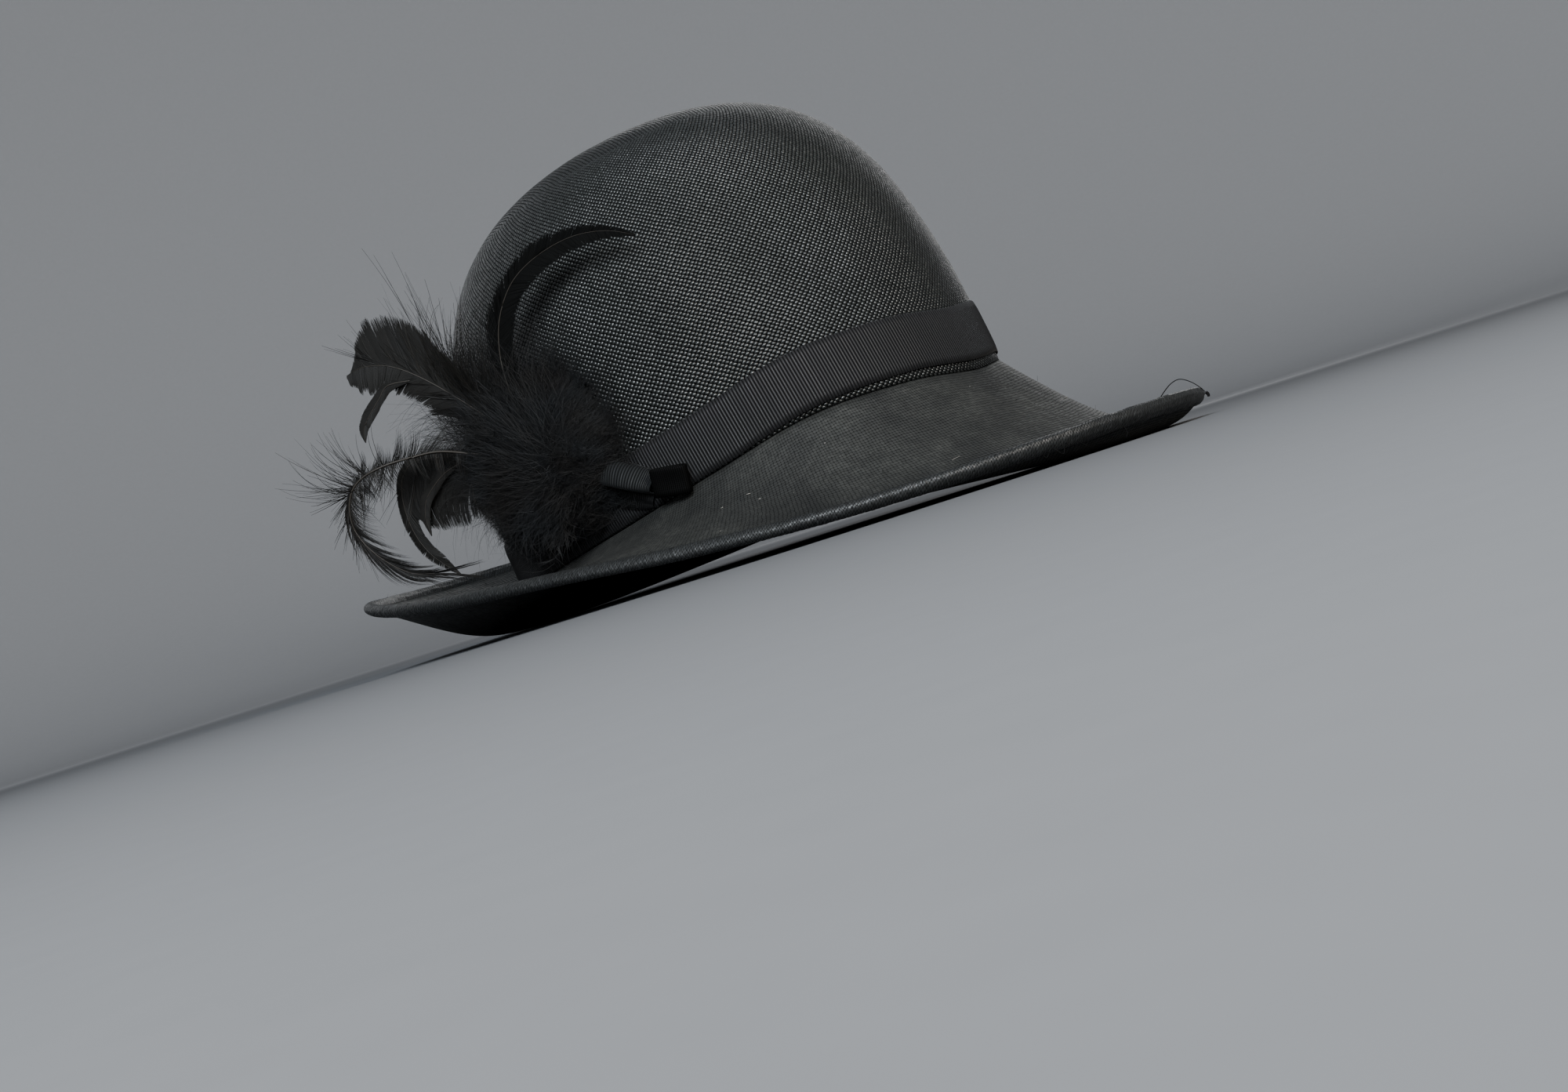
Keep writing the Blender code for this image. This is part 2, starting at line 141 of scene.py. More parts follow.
def besideCrown(fromFront, height, off):
    point, out = oval(fromFront, crownScale(height))
    return point + out * off + Vector((0, 0, height))


def placeOfHat():
    # The crown's solid gives the place: its oval is centred on the axis and its top is on it.
    lean = Matrix.Rotation(math.radians(-hat["leanBack"]), 3, "X")
    back = lean.transposed()
    points = [back @ vertex.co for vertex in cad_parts["crown"].data.vertices]
    middle = [(min(p[k] for p in points) + max(p[k] for p in points)) / 2 for k in (0, 1)]
    foot = max(p.z for p in points) - hat["crownHeight"]
    return Matrix.Translation(lean @ Vector((*middle, foot))) @ lean.to_4x4()


hatPlace = placeOfHat()


# Small helpers for node trees.
nodeGrid = {"columns": 9, "width": 220, "height": 200}


def feed(tree, socket, value):
    if isinstance(value, bpy.types.NodeSocket):
        tree.links.new(value, socket)
    else:
        socket.default_value = value


def addNode(tree, kind, inputs=None, **settings):
    node = tree.nodes.new(kind if kind.startswith("NodeGroup") else "ShaderNode" + kind)
    row, column = divmod(len(tree.nodes), nodeGrid["columns"])
    node.location = (nodeGrid["width"] * column, -nodeGrid["height"] * row)
    for name, value in settings.items():
        setattr(node, name, value)
    for name, value in (inputs or {}).items():
        feed(tree, node.inputs[name], value)
    return node


def calc(tree, operation, a, b=0.0, c=0.0, clamp=False):
    return addNode(tree, "Math", {0: a, 1: b, 2: c}, operation=operation, use_clamp=clamp).outputs[0]


def vectorCalc(tree, operation, a, b=(0, 0, 0), scale=1.0):
    node = addNode(tree, "VectorMath", {0: a, 1: b, 3: scale}, operation=operation)
    return node.outputs["Value" if operation in ("DOT_PRODUCT", "LENGTH") else "Vector"]


def splitVector(tree, vector):
    return list(addNode(tree, "SeparateXYZ", {0: vector}).outputs)


def blendValues(tree, share, a, b):
    return addNode(tree, "Mix", {0: share, 2: a, 3: b}, data_type="FLOAT").outputs[0]


def blendVectors(tree, share, a, b):
    return addNode(tree, "Mix", {0: share, 4: a, 5: b}, data_type="VECTOR").outputs[1]


def blendColours(tree, share, a, b):
    return addNode(tree, "Mix", {0: share, 6: a, 7: b}, data_type="RGBA").outputs[2]


def spreadValue(tree, value, low, high):
    return addNode(tree, "MapRange", {0: value, 1: low, 2: high}, interpolation_type="SMOOTHSTEP").outputs[0]


def cloudy(tree, vector, scale, detail=2.0, roughness=0.5):
    return addNode(tree, "TexNoise", {"Vector": vector, "Scale": scale, "Detail": detail,
                                      "Roughness": roughness}).outputs


def randomOf(tree, number):
    return addNode(tree, "TexWhiteNoise", {"W": number}, noise_dimensions="1D").outputs["Value"]


def bumpFrom(tree, height, distance, **more):
    return addNode(tree, "Bump", {"Height": height, "Distance": distance, **more}).outputs["Normal"]


def readLayer(tree, name):
    return addNode(tree, "Attribute", attribute_name=name).outputs["Vector"]


def objectPosition(tree):
    return addNode(tree, "TexCoord").outputs["Object"]


def newGroup(name, inputs, outputs):
    group = bpy.data.node_groups.new(name, "ShaderNodeTree")
    for label, kind, start in inputs:
        socket = group.interface.new_socket(label, in_out="INPUT", socket_type="NodeSocket" + kind)
        socket.default_value = start
    for label, kind in outputs:
        group.interface.new_socket(label, in_out="OUTPUT", socket_type="NodeSocket" + kind)
    return group, addNode(group, "NodeGroupInput").outputs, addNode(group, "NodeGroupOutput").inputs


def placeGroup(tree, group, **inputs):
    return addNode(tree, "Group", inputs, node_tree=group).outputs


def newMaterial(name):
    made = bpy.data.materials.new(name)
    made.use_nodes = True
    tree = made.node_tree
    tree.nodes.clear()
    shader = addNode(tree, "BsdfPrincipled")
    addNode(tree, "OutputMaterial", {"Surface": shader.outputs["BSDF"]})
    return made, tree, shader.inputs


# Plain weave: strands cross at right angles and each dips under every second one. The vector counts
# diamonds round and up, so that both sets of strands run slantwise.
weaveForm = {
    "slowScale": 0.09,       # wavers that whole strands follow
    "slowReach": 3.0,
    "quickScale": 0.8,       # and short ones, from one crossing to the next
    "arch": 2.75,            # radians of a wave that a strand makes over each crossing
    "archLean": 0.7,
    "secondSet": 517.0,      # keeps the numbers of the two sets of strands apart
}


def makePlainWeave():
    group, given, result = newGroup(
        "plainWeave",
        (("Strands", "Vector", (0, 0, 0)), ("Waver", "Float", 0.3), ("Fullness", "Float", 0.85)),
        (("Height", "Float"), ("Strand", "Float"), ("Bead", "Float"), ("TiltFirst", "Float"),
         ("TiltSecond", "Float")))
    slow = cloudy(group, given["Strands"], weaveForm["slowScale"])["Color"]
    quick = cloudy(group, given["Strands"], weaveForm["quickScale"], 0.0)["Color"]
    slow = vectorCalc(group, "MULTIPLY", slow, (weaveForm["slowReach"], weaveForm["slowReach"], 0.0))
    waver = vectorCalc(group, "SCALE", vectorCalc(group, "ADD", slow, quick), scale=given["Waver"])
    x, y, _ = splitVector(group, vectorCalc(group, "ADD", waver, given["Strands"]))
    first, second = calc(group, "ADD", x, y), calc(group, "SUBTRACT", x, y)
    firstCell, secondCell = (calc(group, "FLOOR", way) for way in (first, second))
    firstPlace, secondPlace = (calc(group, "SUBTRACT", calc(group, "FRACT", way), 0.5)
                               for way in (first, second))
    turn = calc(group, "FLOORED_MODULO", calc(group, "ADD", firstCell, secondCell), 2.0)
    along = blendValues(group, turn, firstPlace, secondPlace)
    across = blendValues(group, turn, secondPlace, firstPlace)
    strand = blendValues(group, turn, secondCell, calc(group, "ADD", firstCell, weaveForm["secondSet"]))
    side = calc(group, "DIVIDE", calc(group, "MULTIPLY", across, 2.0), given["Fullness"])
    rounded = calc(group, "SUBTRACT", 1.0, calc(group, "MULTIPLY", side, side), clamp=True)
    arch = calc(group, "COSINE", calc(group, "MULTIPLY", along, weaveForm["arch"]))
    feed(group, result["Height"], calc(group, "MULTIPLY", calc(group, "SQRT", rounded), arch, clamp=True))
    # How far the surface leans towards either set's direction: round across a strand, arched along it.
    for label, own in (("TiltFirst", firstPlace), ("TiltSecond", secondPlace)):
        roundness = calc(group, "DIVIDE", calc(group, "MULTIPLY", own, 2.0), given["Fullness"])
        roundness = calc(group, "MAXIMUM", calc(group, "MINIMUM", roundness, 1.0), -1.0)
        arched = calc(group, "SINE", calc(group, "MULTIPLY", own, weaveForm["arch"]))
        arched = calc(group, "MULTIPLY", arched, weaveForm["archLean"])
        pair = (arched, roundness) if label == "TiltFirst" else (roundness, arched)
        feed(group, result[label], blendValues(group, turn, *pair))
    feed(group, result["Strand"], randomOf(group, strand))
    cell = addNode(group, "CombineXYZ", {0: firstCell, 1: secondCell}).outputs[0]
    perBead = addNode(group, "TexWhiteNoise", {"Vector": cell}, noise_dimensions="2D")
    feed(group, result["Bead"], perBead.outputs["Value"])
    return group


# Leans the surface's normal along the strands. Around points round the hat; First and Second say how the
# two sets run, as shares of round and up.
def makeStrandNormal():
    group, given, result = newGroup(
        "strandNormal",
        (("Around", "Vector", (1, 0, 0)), ("First", "Vector", (0.7, 0.7, 0)),
         ("Second", "Vector", (0.7, -0.7, 0)), ("TiltFirst", "Float", 0.0), ("TiltSecond", "Float", 0.0),
         ("Strength", "Float", 1.0)),
        (("Normal", "Vector"),))

    def scaled(vector, amount):
        return vectorCalc(group, "SCALE", vector, scale=amount)

    normal = addNode(group, "NewGeometry").outputs["Normal"]
    straight = vectorCalc(group, "DOT_PRODUCT", given["Around"], normal)
    flat = vectorCalc(group, "SUBTRACT", given["Around"], scaled(normal, straight))
    flat = vectorCalc(group, "NORMALIZE", flat)
    up = vectorCalc(group, "CROSS_PRODUCT", normal, flat)
    leant = normal
    for way in ("First", "Second"):
        x, y, _ = splitVector(group, given[way])
        along = vectorCalc(group, "ADD", scaled(flat, x), scaled(up, y))
        amount = calc(group, "MULTIPLY", given["Tilt" + way], given["Strength"])
        leant = vectorCalc(group, "ADD", leant, scaled(along, amount))
    feed(group, result["Normal"], vectorCalc(group, "NORMALIZE", leant))
    return group


# Cloudy wear: a broad mask of rubbed or dusty places and a fine one inside it.
def makeWornPatches():
    group, given, result = newGroup(
        "wornPatches",
        (("Position", "Vector", (0, 0, 0)), ("Size", "Float", 0.02), ("Edge", "Float", 0.12)),
        (("Patch", "Float"), ("Speckle", "Float")))
    scale = calc(group, "DIVIDE", 1.0, given["Size"])
    broad = cloudy(group, given["Position"], scale, 4.0, 0.6)[0]
    low, high = (calc(group, way, 0.5, given["Edge"]) for way in ("SUBTRACT", "ADD"))
    feed(group, result["Patch"], addNode(group, "MapRange", {0: broad, 1: low, 2: high}).outputs[0])
    fine = cloudy(group, given["Position"], calc(group, "MULTIPLY", scale, 14.0), 3.0, 0.7)[0]
    feed(group, result["Speckle"], spreadValue(group, fine, 0.42, 0.62))
    return group


# Corded ribbon: fine threads run along it over the cross ribs, and the ribs differ a little.
def makeCordedCloth():
    group, given, result = newGroup(
        "cordedCloth",
        (("Ribs", "Vector", (0, 0, 0)), ("Threads", "Float", 90.0)),
        (("Height", "Float"), ("Rib", "Float")))
    count, across, _ = splitVector(group, given["Ribs"])
    wave = calc(group, "COSINE", calc(group, "MULTIPLY", count, 2 * math.pi))
    rib = calc(group, "ADD", calc(group, "MULTIPLY", wave, -0.5), 0.5)
    threads = calc(group, "MULTIPLY", calc(group, "MULTIPLY", across, given["Threads"]), 2 * math.pi)
    fine = calc(group, "MULTIPLY", calc(group, "SINE", threads), 0.12)
    feed(group, result["Height"], calc(group, "ADD", rib, fine))
    feed(group, result["Rib"], randomOf(group, calc(group, "FLOOR", count)))
    return group


plainWeave = makePlainWeave()
strandNormal = makeStrandNormal()
wornPatches = makeWornPatches()
cordedCloth = makeCordedCloth()
print("shared effects built")

# Straw of the crown: lacquered strands with dark pits between them; the pits' darkness is painted shade.
crownStraw = {
    # pitShade is painted shade for the gaps between the strands.
    "pitShade": (0.0008, 0.0008, 0.0009, 1),
    "strandDark": (0.0042, 0.0050, 0.0048, 1),
    "strandLight": (0.0150, 0.0172, 0.0164, 1),
    "beadShare": 0.12,
    "dust": (0.030, 0.033, 0.030, 1),
    "dustShare": 0.12,
    "wornSize": 0.03,
    "roughness": (0.28, 0.42),
    "shine": 0.55,
    "dullShine": 0.2,
    "relief": 0.85,
    "first": (0.67, 0.74, 0.0),
    "second": (0.67, -0.74, 0.0),
    "waver": 0.22,
    "fullness": 0.80,
    "capFrom": 0.062,        # how far from the top, along the surface, the flat start of the weave reaches
    "capBlend": 0.003,
}

# What all the straw has in common.
anyStraw = {
    "strandShare": 0.4,      # how far strands differ in colour
    "wornShare": 0.35,       # how much lighter rubbed patches are
    "wornEdge": 0.16,
    "gapHeights": (0.05, 0.6),
    "speckleShare": 0.6,
    "dullShare": 0.6,
    "unevenScale": 190.0,
    "unevenDepth": 0.0005,
}


def strawMaterial(name, look, capLayer=None):
    made, tree, shader = newMaterial(name)
    wanted = ("Height", "Strand", "Bead", "TiltFirst", "TiltSecond")
    form = {"Waver": look["waver"], "Fullness": look["fullness"]}
    weave = placeGroup(tree, plainWeave, Strands=readLayer(tree, "strands"), **form)
    parts = {label: weave[label] for label in wanted}
    position = objectPosition(tree)
    centre, axis, across = (tuple(hatPlace.col[k][:3]) for k in (3, 2, 0))
    away = vectorCalc(tree, "SUBTRACT", position, centre)
    around = vectorCalc(tree, "NORMALIZE", vectorCalc(tree, "CROSS_PRODUCT", axis, away))
    if capLayer:
        capPlace = readLayer(tree, capLayer)
        cap = placeGroup(tree, plainWeave, Strands=capPlace, **form)
        _, _, reach = splitVector(tree, capPlace)
        capFrom, blend = look["capFrom"], look["capBlend"]
        onCap = spreadValue(tree, reach, capFrom + blend, capFrom - blend)
        for label in wanted:
            parts[label] = blendValues(tree, onCap, parts[label], cap[label])
        around = blendVectors(tree, onCap, around, across)
    bead = parts["Bead"]
    worn = placeGroup(tree, wornPatches, Position=position, Size=look["wornSize"], Edge=anyStraw["wornEdge"])
    tone = calc(tree, "MULTIPLY_ADD", parts["Strand"], anyStraw["strandShare"],
                calc(tree, "MULTIPLY", bead, look["beadShare"]))
    tone = calc(tree, "MULTIPLY_ADD", worn["Patch"], anyStraw["wornShare"], tone, clamp=True)
    colour = blendColours(tree, tone, look["strandDark"], look["strandLight"])
    # Painted shade: where the weave's height is low, between the strands, the colour goes to the pit colour,
    # darkening the gaps.
    lit = spreadValue(tree, parts["Height"], *anyStraw["gapHeights"])
    colour = blendColours(tree, lit, look["pitShade"], colour)
    # Dust lies in rubbed patches, finely speckled.
    speckle = anyStraw["speckleShare"]
    dusty = calc(tree, "MULTIPLY", worn["Patch"],
                 calc(tree, "MULTIPLY_ADD", worn["Speckle"], speckle, 1 - speckle))
    feed(tree, shader["Base Color"],
         blendColours(tree, calc(tree, "MULTIPLY", dusty, look["dustShare"]), colour, look["dust"]))
    low, high = look["roughness"]
    smooth = calc(tree, "MULTIPLY_ADD", bead, high - low, 1 - high)
    feed(tree, shader["Roughness"], calc(tree, "SUBTRACT", 1.0, calc(tree, "MULTIPLY", lit, smooth)))
    leant = placeGroup(tree, strandNormal, Around=around, First=look["first"], Second=look["second"],
                       TiltFirst=parts["TiltFirst"], TiltSecond=parts["TiltSecond"], Strength=look["relief"])
    uneven = cloudy(tree, position, anyStraw["unevenScale"])[0]
    feed(tree, shader["Normal"], bumpFrom(tree, uneven, anyStraw["unevenDepth"], Normal=leant["Normal"]))
    # The gaps and the dull patches reflect only their own dark colour, so they turn metallic.
    dull = calc(tree, "MULTIPLY", worn["Patch"], anyStraw["dullShare"])
    gloss = blendValues(tree, dull, 1.0, look["dullShine"] / look["shine"])
    vary = 2 * look["beadShare"]
    share = calc(tree, "MULTIPLY_ADD", bead, 2 * vary / (1 + vary), (1 - vary) / (1 + vary))
    shiny = calc(tree, "MULTIPLY", lit, calc(tree, "MULTIPLY", gloss, share))
    feed(tree, shader["Metallic"], calc(tree, "SUBTRACT", 1.0, shiny, clamp=True))
    shader["Specular IOR Level"].default_value = look["shine"] * (1 + vary)
    return made


def makePiece(name, points, faces, materials, cornerLayers=None, pointLayers=None,
              faceMaterials=None):
    mesh = bpy.data.meshes.new(name)
    mesh.from_pydata([hatPlace @ Vector(point) for point in points], [], faces)
    for domain, layers in (("CORNER", cornerLayers), ("POINT", pointLayers)):
        for label, values in (layers or {}).items():
            mesh.attributes.new(label, "FLOAT_VECTOR", domain).data.foreach_set("vector", values)
    for material in materials:
        mesh.materials.append(material)
    if faceMaterials:
        mesh.polygons.foreach_set("material_index", faceMaterials)
    mesh.shade_smooth()
    mesh.update()
    made = bpy.data.objects.new(name, mesh)
    bpy.context.collection.objects.link(made)
    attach(made, "root")
    return made


def gridFaces(rows, columns, looped=False, flipped=False):
    # Quads between rings of points, and the places of their corners; looped joins the last ring to the
    # first, flipped turns the quads over.
    faces, places = [], []
    rings = rows if looped else rows + 1
    for row in range(rows):
        near, far = row * columns, (row + 1) % rings * columns
        for column in range(columns):
            ahead = (column + 1) % columns
            if flipped:
                faces.append((near + column, far + column, far + ahead, near + ahead))
                places.append(((row, column), (row + 1, column), (row + 1, column + 1), (row, column + 1)))
            else:
                faces.append((near + column, near + ahead, far + ahead, far + column))
                places.append(((row, column), (row, column + 1), (row + 1, column + 1), (row + 1, column)))
    return faces, places


def cornerValues(places, valueAt):
    known = {}
    values = []
    for corners in places:
        for corner in corners:
            if corner not in known:
                known[corner] = valueAt(*corner)
            values.extend(known[corner])
    return values


# Crown: an oval dome blocked from woven straw, a little uneven by hand.
crown = {
    "wall": 0.0016,
    "rows": 84,
    "around": 240,
    "diamonds": 288,         # round the crown's foot
    "diamondHeight": 0.00175,
    "unevenness": 0.0006,
    "unevenSize": 0.045,
    "fineShare": 0.22,       # of the unevenness, in small dents
    "fineSize": 0.012,
    "evenBelow": (0.026, 0.045),    # heights between which the unevenness starts, above the band
    "evenWithin": 0.3,       # it also fades out within this share of the way from the axis
    "capDiamond": 0.0019,
    "topHole": 0.002,
}


def crownRows():
    # Places on the dome's profile, evenly spaced along it: reach from the axis, height, length so far.
    power = hat["crownPower"]
    radius = (hat["crownLength"] + hat["crownWidth"]) / 4
    fine, steps = [], 2000
    length = 0.0
    for k in range(steps + 1):
        rise = math.radians(90) * (k / steps) ** 2     # closer together where the wall starts
        reach, share = math.cos(rise) ** (2 / power), math.sin(rise) ** (2 / power)
        if fine:
            length += math.hypot((reach - fine[-1][0]) * radius, (share - fine[-1][1]) * hat["crownHeight"])
        fine.append((reach, share, length))
    rows, k = [], 0
    for row in range(crown["rows"] + 1):
        want = length * row / crown["rows"]
        while k < len(fine) - 2 and fine[k + 1][2] < want:
            k += 1
        a, b = fine[k], fine[k + 1]
        f = clamp01((want - a[2]) / max(b[2] - a[2], 1e-12))
        rows.append([a[i] + (b[i] - a[i]) * f for i in range(3)])
    rows[-1][0] = crown["topHole"]
    return rows


def makeCrown(material):
    rows = crownRows()
    topLength = rows[-1][2]
    around = crown["around"]
    points = []
    for reach, share, _ in rows:
        for k in range(around):
            fromFront = 360 * k / around
            point, out = oval(fromFront, reach)
            foot = brimValue("join", fromFront) + hat["gap"]
            point.z = hat["crownHeight"] * share + foot * (1 - share)
            # The hand's unevenness fades out under the band and at the middle of the top.
            free = easeBetween(*crown["evenBelow"], point.z) * easeBetween(0.0, crown["evenWithin"], reach)
            bumpy = noise.noise(point / crown["unevenSize"])
            fine = noise.noise(point / crown["fineSize"] + Vector((7, 3, 1))) * crown["fineShare"]
            side = out * reach ** 2 + Vector((0, 0, 1 - reach ** 2))
            points.append(point + side.normalized() * (bumpy + fine) * crown["unevenness"] * free)
    faces, places = gridFaces(crown["rows"], around)

    def sideStrands(row, column):
        return (crown["diamonds"] * column / around, rows[row][2] / crown["diamondHeight"], 0.0)

    def capStrands(row, column):
        away = topLength - rows[row][2]
        t = math.radians(360 * column / around)
        return (away * math.sin(t) / crown["capDiamond"], -away * math.cos(t) / crown["diamondHeight"], away)

    made = makePiece("strawCrown", points, faces, [material],
                     {"strands": cornerValues(places, sideStrands),
                      "capStrands": cornerValues(places, capStrands)})
    wall = made.modifiers.new("wall", "SOLIDIFY")
    wall.thickness = crown["wall"]
    wall.offset = -1
    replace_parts(made, "crown")


makeCrown(strawMaterial("crownStraw", crownStraw, "capStrands"))
print("crown woven")

# Brim: the same straw pressed flat, one sheet from the collar to the rolled edge.
brim = {
    "wall": 0.0017,
    "collarWall": 0.0012,
    "collarHeight": 0.008,
    "rollHalfWidth": 0.0032,
    "rollHalfHeight": 0.0024,
    "around": 300,
    "steps": 30,
    "radialStrands": 600,
    "strandPitch": 0.0012,
}

brimStraw = {
    # pitShade is painted shade for the gaps between the strands.
    "pitShade": (0.0062, 0.0066, 0.0065, 1),
    "strandDark": (0.0070, 0.0074, 0.0072, 1),
    "strandLight": (0.0112, 0.0118, 0.0112, 1),
    "beadShare": 0.05,
    "dust": (0.036, 0.037, 0.034, 1),
    "dustShare": 0.5,
    "wornSize": 0.024,
    "roughness": (0.52, 0.64),
    "shine": 0.24,
    "dullShine": 0.21,
    "relief": 0.10,
    "first": (0.6, 0.0, 0.0),
    "second": (0.0, -1.5, 0.0),
    "waver": 0.32,
    "fullness": 0.97,
}


def brimSheet(fromFront, share):
    # A point of the sheet's top, as (out from the crown's foot, height), and its direction outwards.
    join, width, edge = (brimValue(name, fromFront) for name in ("join", "width", "edge"))
    leave = math.tan(math.radians(brimValue("leave", fromFront))) * width
    land = math.tan(math.radians(brimValue("land", fromFront))) * width
    rest = 1 - share
    height = (join * (1 + 2 * share) * rest ** 2 + edge * (3 - 2 * share) * share ** 2
              + leave * share * rest ** 2 - land * rest * share ** 2)
    slope = (leave * rest * (1 - 3 * share) + land * share * (3 * share - 2)
             - 6 * share * rest * (join - edge)) / width
    return Vector((width * share, height)), Vector((1, slope)).normalized()


def brimRing(fromFront):
    join, width = brimValue("join", fromFront), brimValue("width", fromFront)
    stop = 1 - brim["rollHalfWidth"] * 0.5 / width
    top, under = [], []
    for k in range(brim["steps"] + 1):
        point, along = brimSheet(fromFront, stop * k / brim["steps"])
        down = Vector((along.y, -along.x))
        top.append(point)
        under.append(point + down * brim["wall"])
    collarOut = -crown["wall"] - 1.4 * hat["gap"]
    collarIn = collarOut - brim["collarWall"]
    collar = [Vector((collarIn, join + brim["collarHeight"] * k / 3)) for k in range(4)]
    collar += [Vector((collarOut, join + brim["collarHeight"])), Vector((collarOut, join))]
    foot = Vector((collarIn, under[0].y))
    return [foot] + collar + top + under[::-1]


def onBrim(fromFront, place):
    foot, out = oval(fromFront)
    return foot + out * place.x + Vector((0, 0, place.y))


def makeBrim(material):
    around = brim["around"]
    rings = [brimRing(360 * k / around) for k in range(around)]
    runs = [runAlong(ring + ring[:1]) for ring in rings]
    points = [onBrim(360 * k / around, place) for k, ring in enumerate(rings) for place in ring]
    faces, places = gridFaces(around, len(rings[0]), looped=True, flipped=True)

    def strandsAt(k, i):
        aside = brim["radialStrands"] * k / around
        outwards = runs[k % around][i] / brim["strandPitch"]
        return ((aside + outwards) / 2, (aside - outwards) / 2, 0.0)

    made = makePiece("strawBrim", points, faces, [material],
                     {"strands": cornerValues(places, strandsAt)})
    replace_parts(made, "brim")


makeBrim(strawMaterial("brimStraw", brimStraw))
print("brim pressed")

# Rolled edge: the brim's straw turned over a wire, ridged slantwise like a rope.
hem = {
    "ropePitch": 0.0018,
    "ropeSlant": 3,          # how many ridges further on one comes out after a turn round the roll
    "ropeDepth": 0.00017,
    "ropeBluntness": 0.7,    # under 1 the ridges are broad and the grooves narrow
    "ropeSunk": 0.6,         # the grooves go this share of the depth below the roll
    "plies": 9,              # ridges that follow the edge at the very front and back
    "plyDepth": 0.00024,
    "plyWander": 3.0,
    "around": 24,
    "stepsPerRidge": 6,
    "inset": 0.0002,
    "roughness": 0.00012,
    "pliesTo": (12, 30),     # degrees from the front where the plies fade out, and back in
    "pliesFrom": (150, 168),
    "strands": ((1.8, -4.5), (0.4, 7.5)),    # diamonds per ridge and per turn of the roll, both ways
}


def hemLine(fromFront):
    # Middle of the roll and the two directions of its section.
    tip, along = brimSheet(fromFront, 1)
    down = Vector((along.y, -along.x))
    return tip + down * brim["wall"] / 2, along, down


def makeHem(material):
    length = runAlong(roundTheHat(lambda angle: onBrim(angle, hemLine(angle)[0])))[-1]
    columns = round(length / hem["ropePitch"]) * hem["stepsPerRidge"]
    around = hem["around"]
    points = []
    for k in range(columns):
        fromFront = 360 * k / columns
        middle, along, down = hemLine(fromFront)
        away = folded(fromFront)
        straight = 1 - easeBetween(*hem["pliesTo"], away) * (1 - easeBetween(*hem["pliesFrom"], away))
        firm = 0.7 + 0.5 * noise.noise(Vector((fromFront * 0.35, 0, 5)))
        for i in range(around):
            turn = 2 * math.pi * i / around
            rope = math.sin(math.pi * (k / hem["stepsPerRidge"] + hem["ropeSlant"] * i / around))
            rope = abs(rope) ** hem["ropeBluntness"] - hem["ropeSunk"]
            wander = noise.noise(Vector((fromFront * 0.12, i / around * 4, 1))) * hem["plyWander"]
            ply = math.cos(hem["plies"] * turn + wander)
            raised = (rope * hem["ropeDepth"] * (1 - straight) * firm
                      + ply * hem["plyDepth"] * straight
                      + noise.noise(Vector((k * 0.11, i * 0.5, 3))) * hem["roughness"])
            halfWidth = brim["rollHalfWidth"] - hem["inset"] + raised
            halfHeight = brim["rollHalfHeight"] - hem["inset"] + raised
            place = middle + along * halfWidth * math.cos(turn) - down * halfHeight * math.sin(turn)
            points.append(onBrim(fromFront, place))
    faces, places = gridFaces(columns, around, looped=True)

    def strandsAt(row, column):
        ridge, turn = row / hem["stepsPerRidge"], column / around
        return (*(ridge * perRidge + turn * perTurn for perRidge, perTurn in hem["strands"]), 0.0)

    makePiece("rolledEdge", points, faces, [material],
              {"strands": cornerValues(places, strandsAt)})


hemStraw = dict(brimStraw, relief=0.14, beadShare=0.15, roughness=(0.42, 0.56), dustShare=0.25, shine=0.26,
                strandLight=(0.0160, 0.0172, 0.0185, 1), dullShine=0.16, first=(0.7, 0.7, 0.0),
                second=(0.7, -0.7, 0.0), waver=0.5)
makeHem(strawMaterial("edgeStraw", hemStraw))
print("edge rolled")

# Ribbon band: corded ribbon drawn round the crown's foot, its ribs upright.
band = {
    "width": 0.019,
    "thickness": 0.0008,
    "riseFront": 0.0028,     # how far its lower edge stands off the brim at the front
    "riseFadesAt": 60,
    "ribPitch": 0.00105,
    "ribDepth": 0.00010,
    "scallop": 0.00016,
    "lean": 1.0301,          # degrees round the hat that a rib's top lies behind its foot
    "roundEdge": 0.00025,
    "crimp": 0.00012,
    "stepsPerRib": 6,
    "rows": 8,
}

ribbon = {
    # deep is the grooves' colour and raised the crests'; the darker grooves are painted shade.
    "deep": (0.0009, 0.0009, 0.0010, 1),
    "raised": (0.0056, 0.0057, 0.0062, 1),
    "worn": (0.010, 0.010, 0.011, 1),
    "roughness": (0.46, 0.62),
    "gloss": 0.18,
    "flatGloss": 0.06,
    "sheen": 0.03,
    "sheenRoughness": 0.4,
    "relief": 0.00006,
    "threads": 70.0,
    "wornSize": 0.018,
    "wornEdge": 0.14,
    "wornShare": 0.35,
    "ribShare": 0.3,
}


def bandFoot(fromFront):
    fade = max(0.0, 1 - folded(fromFront) / band["riseFadesAt"])
    return brimValue("join", fromFront) + 2 * hat["gap"] + band["riseFront"] * fade * (2 - fade)


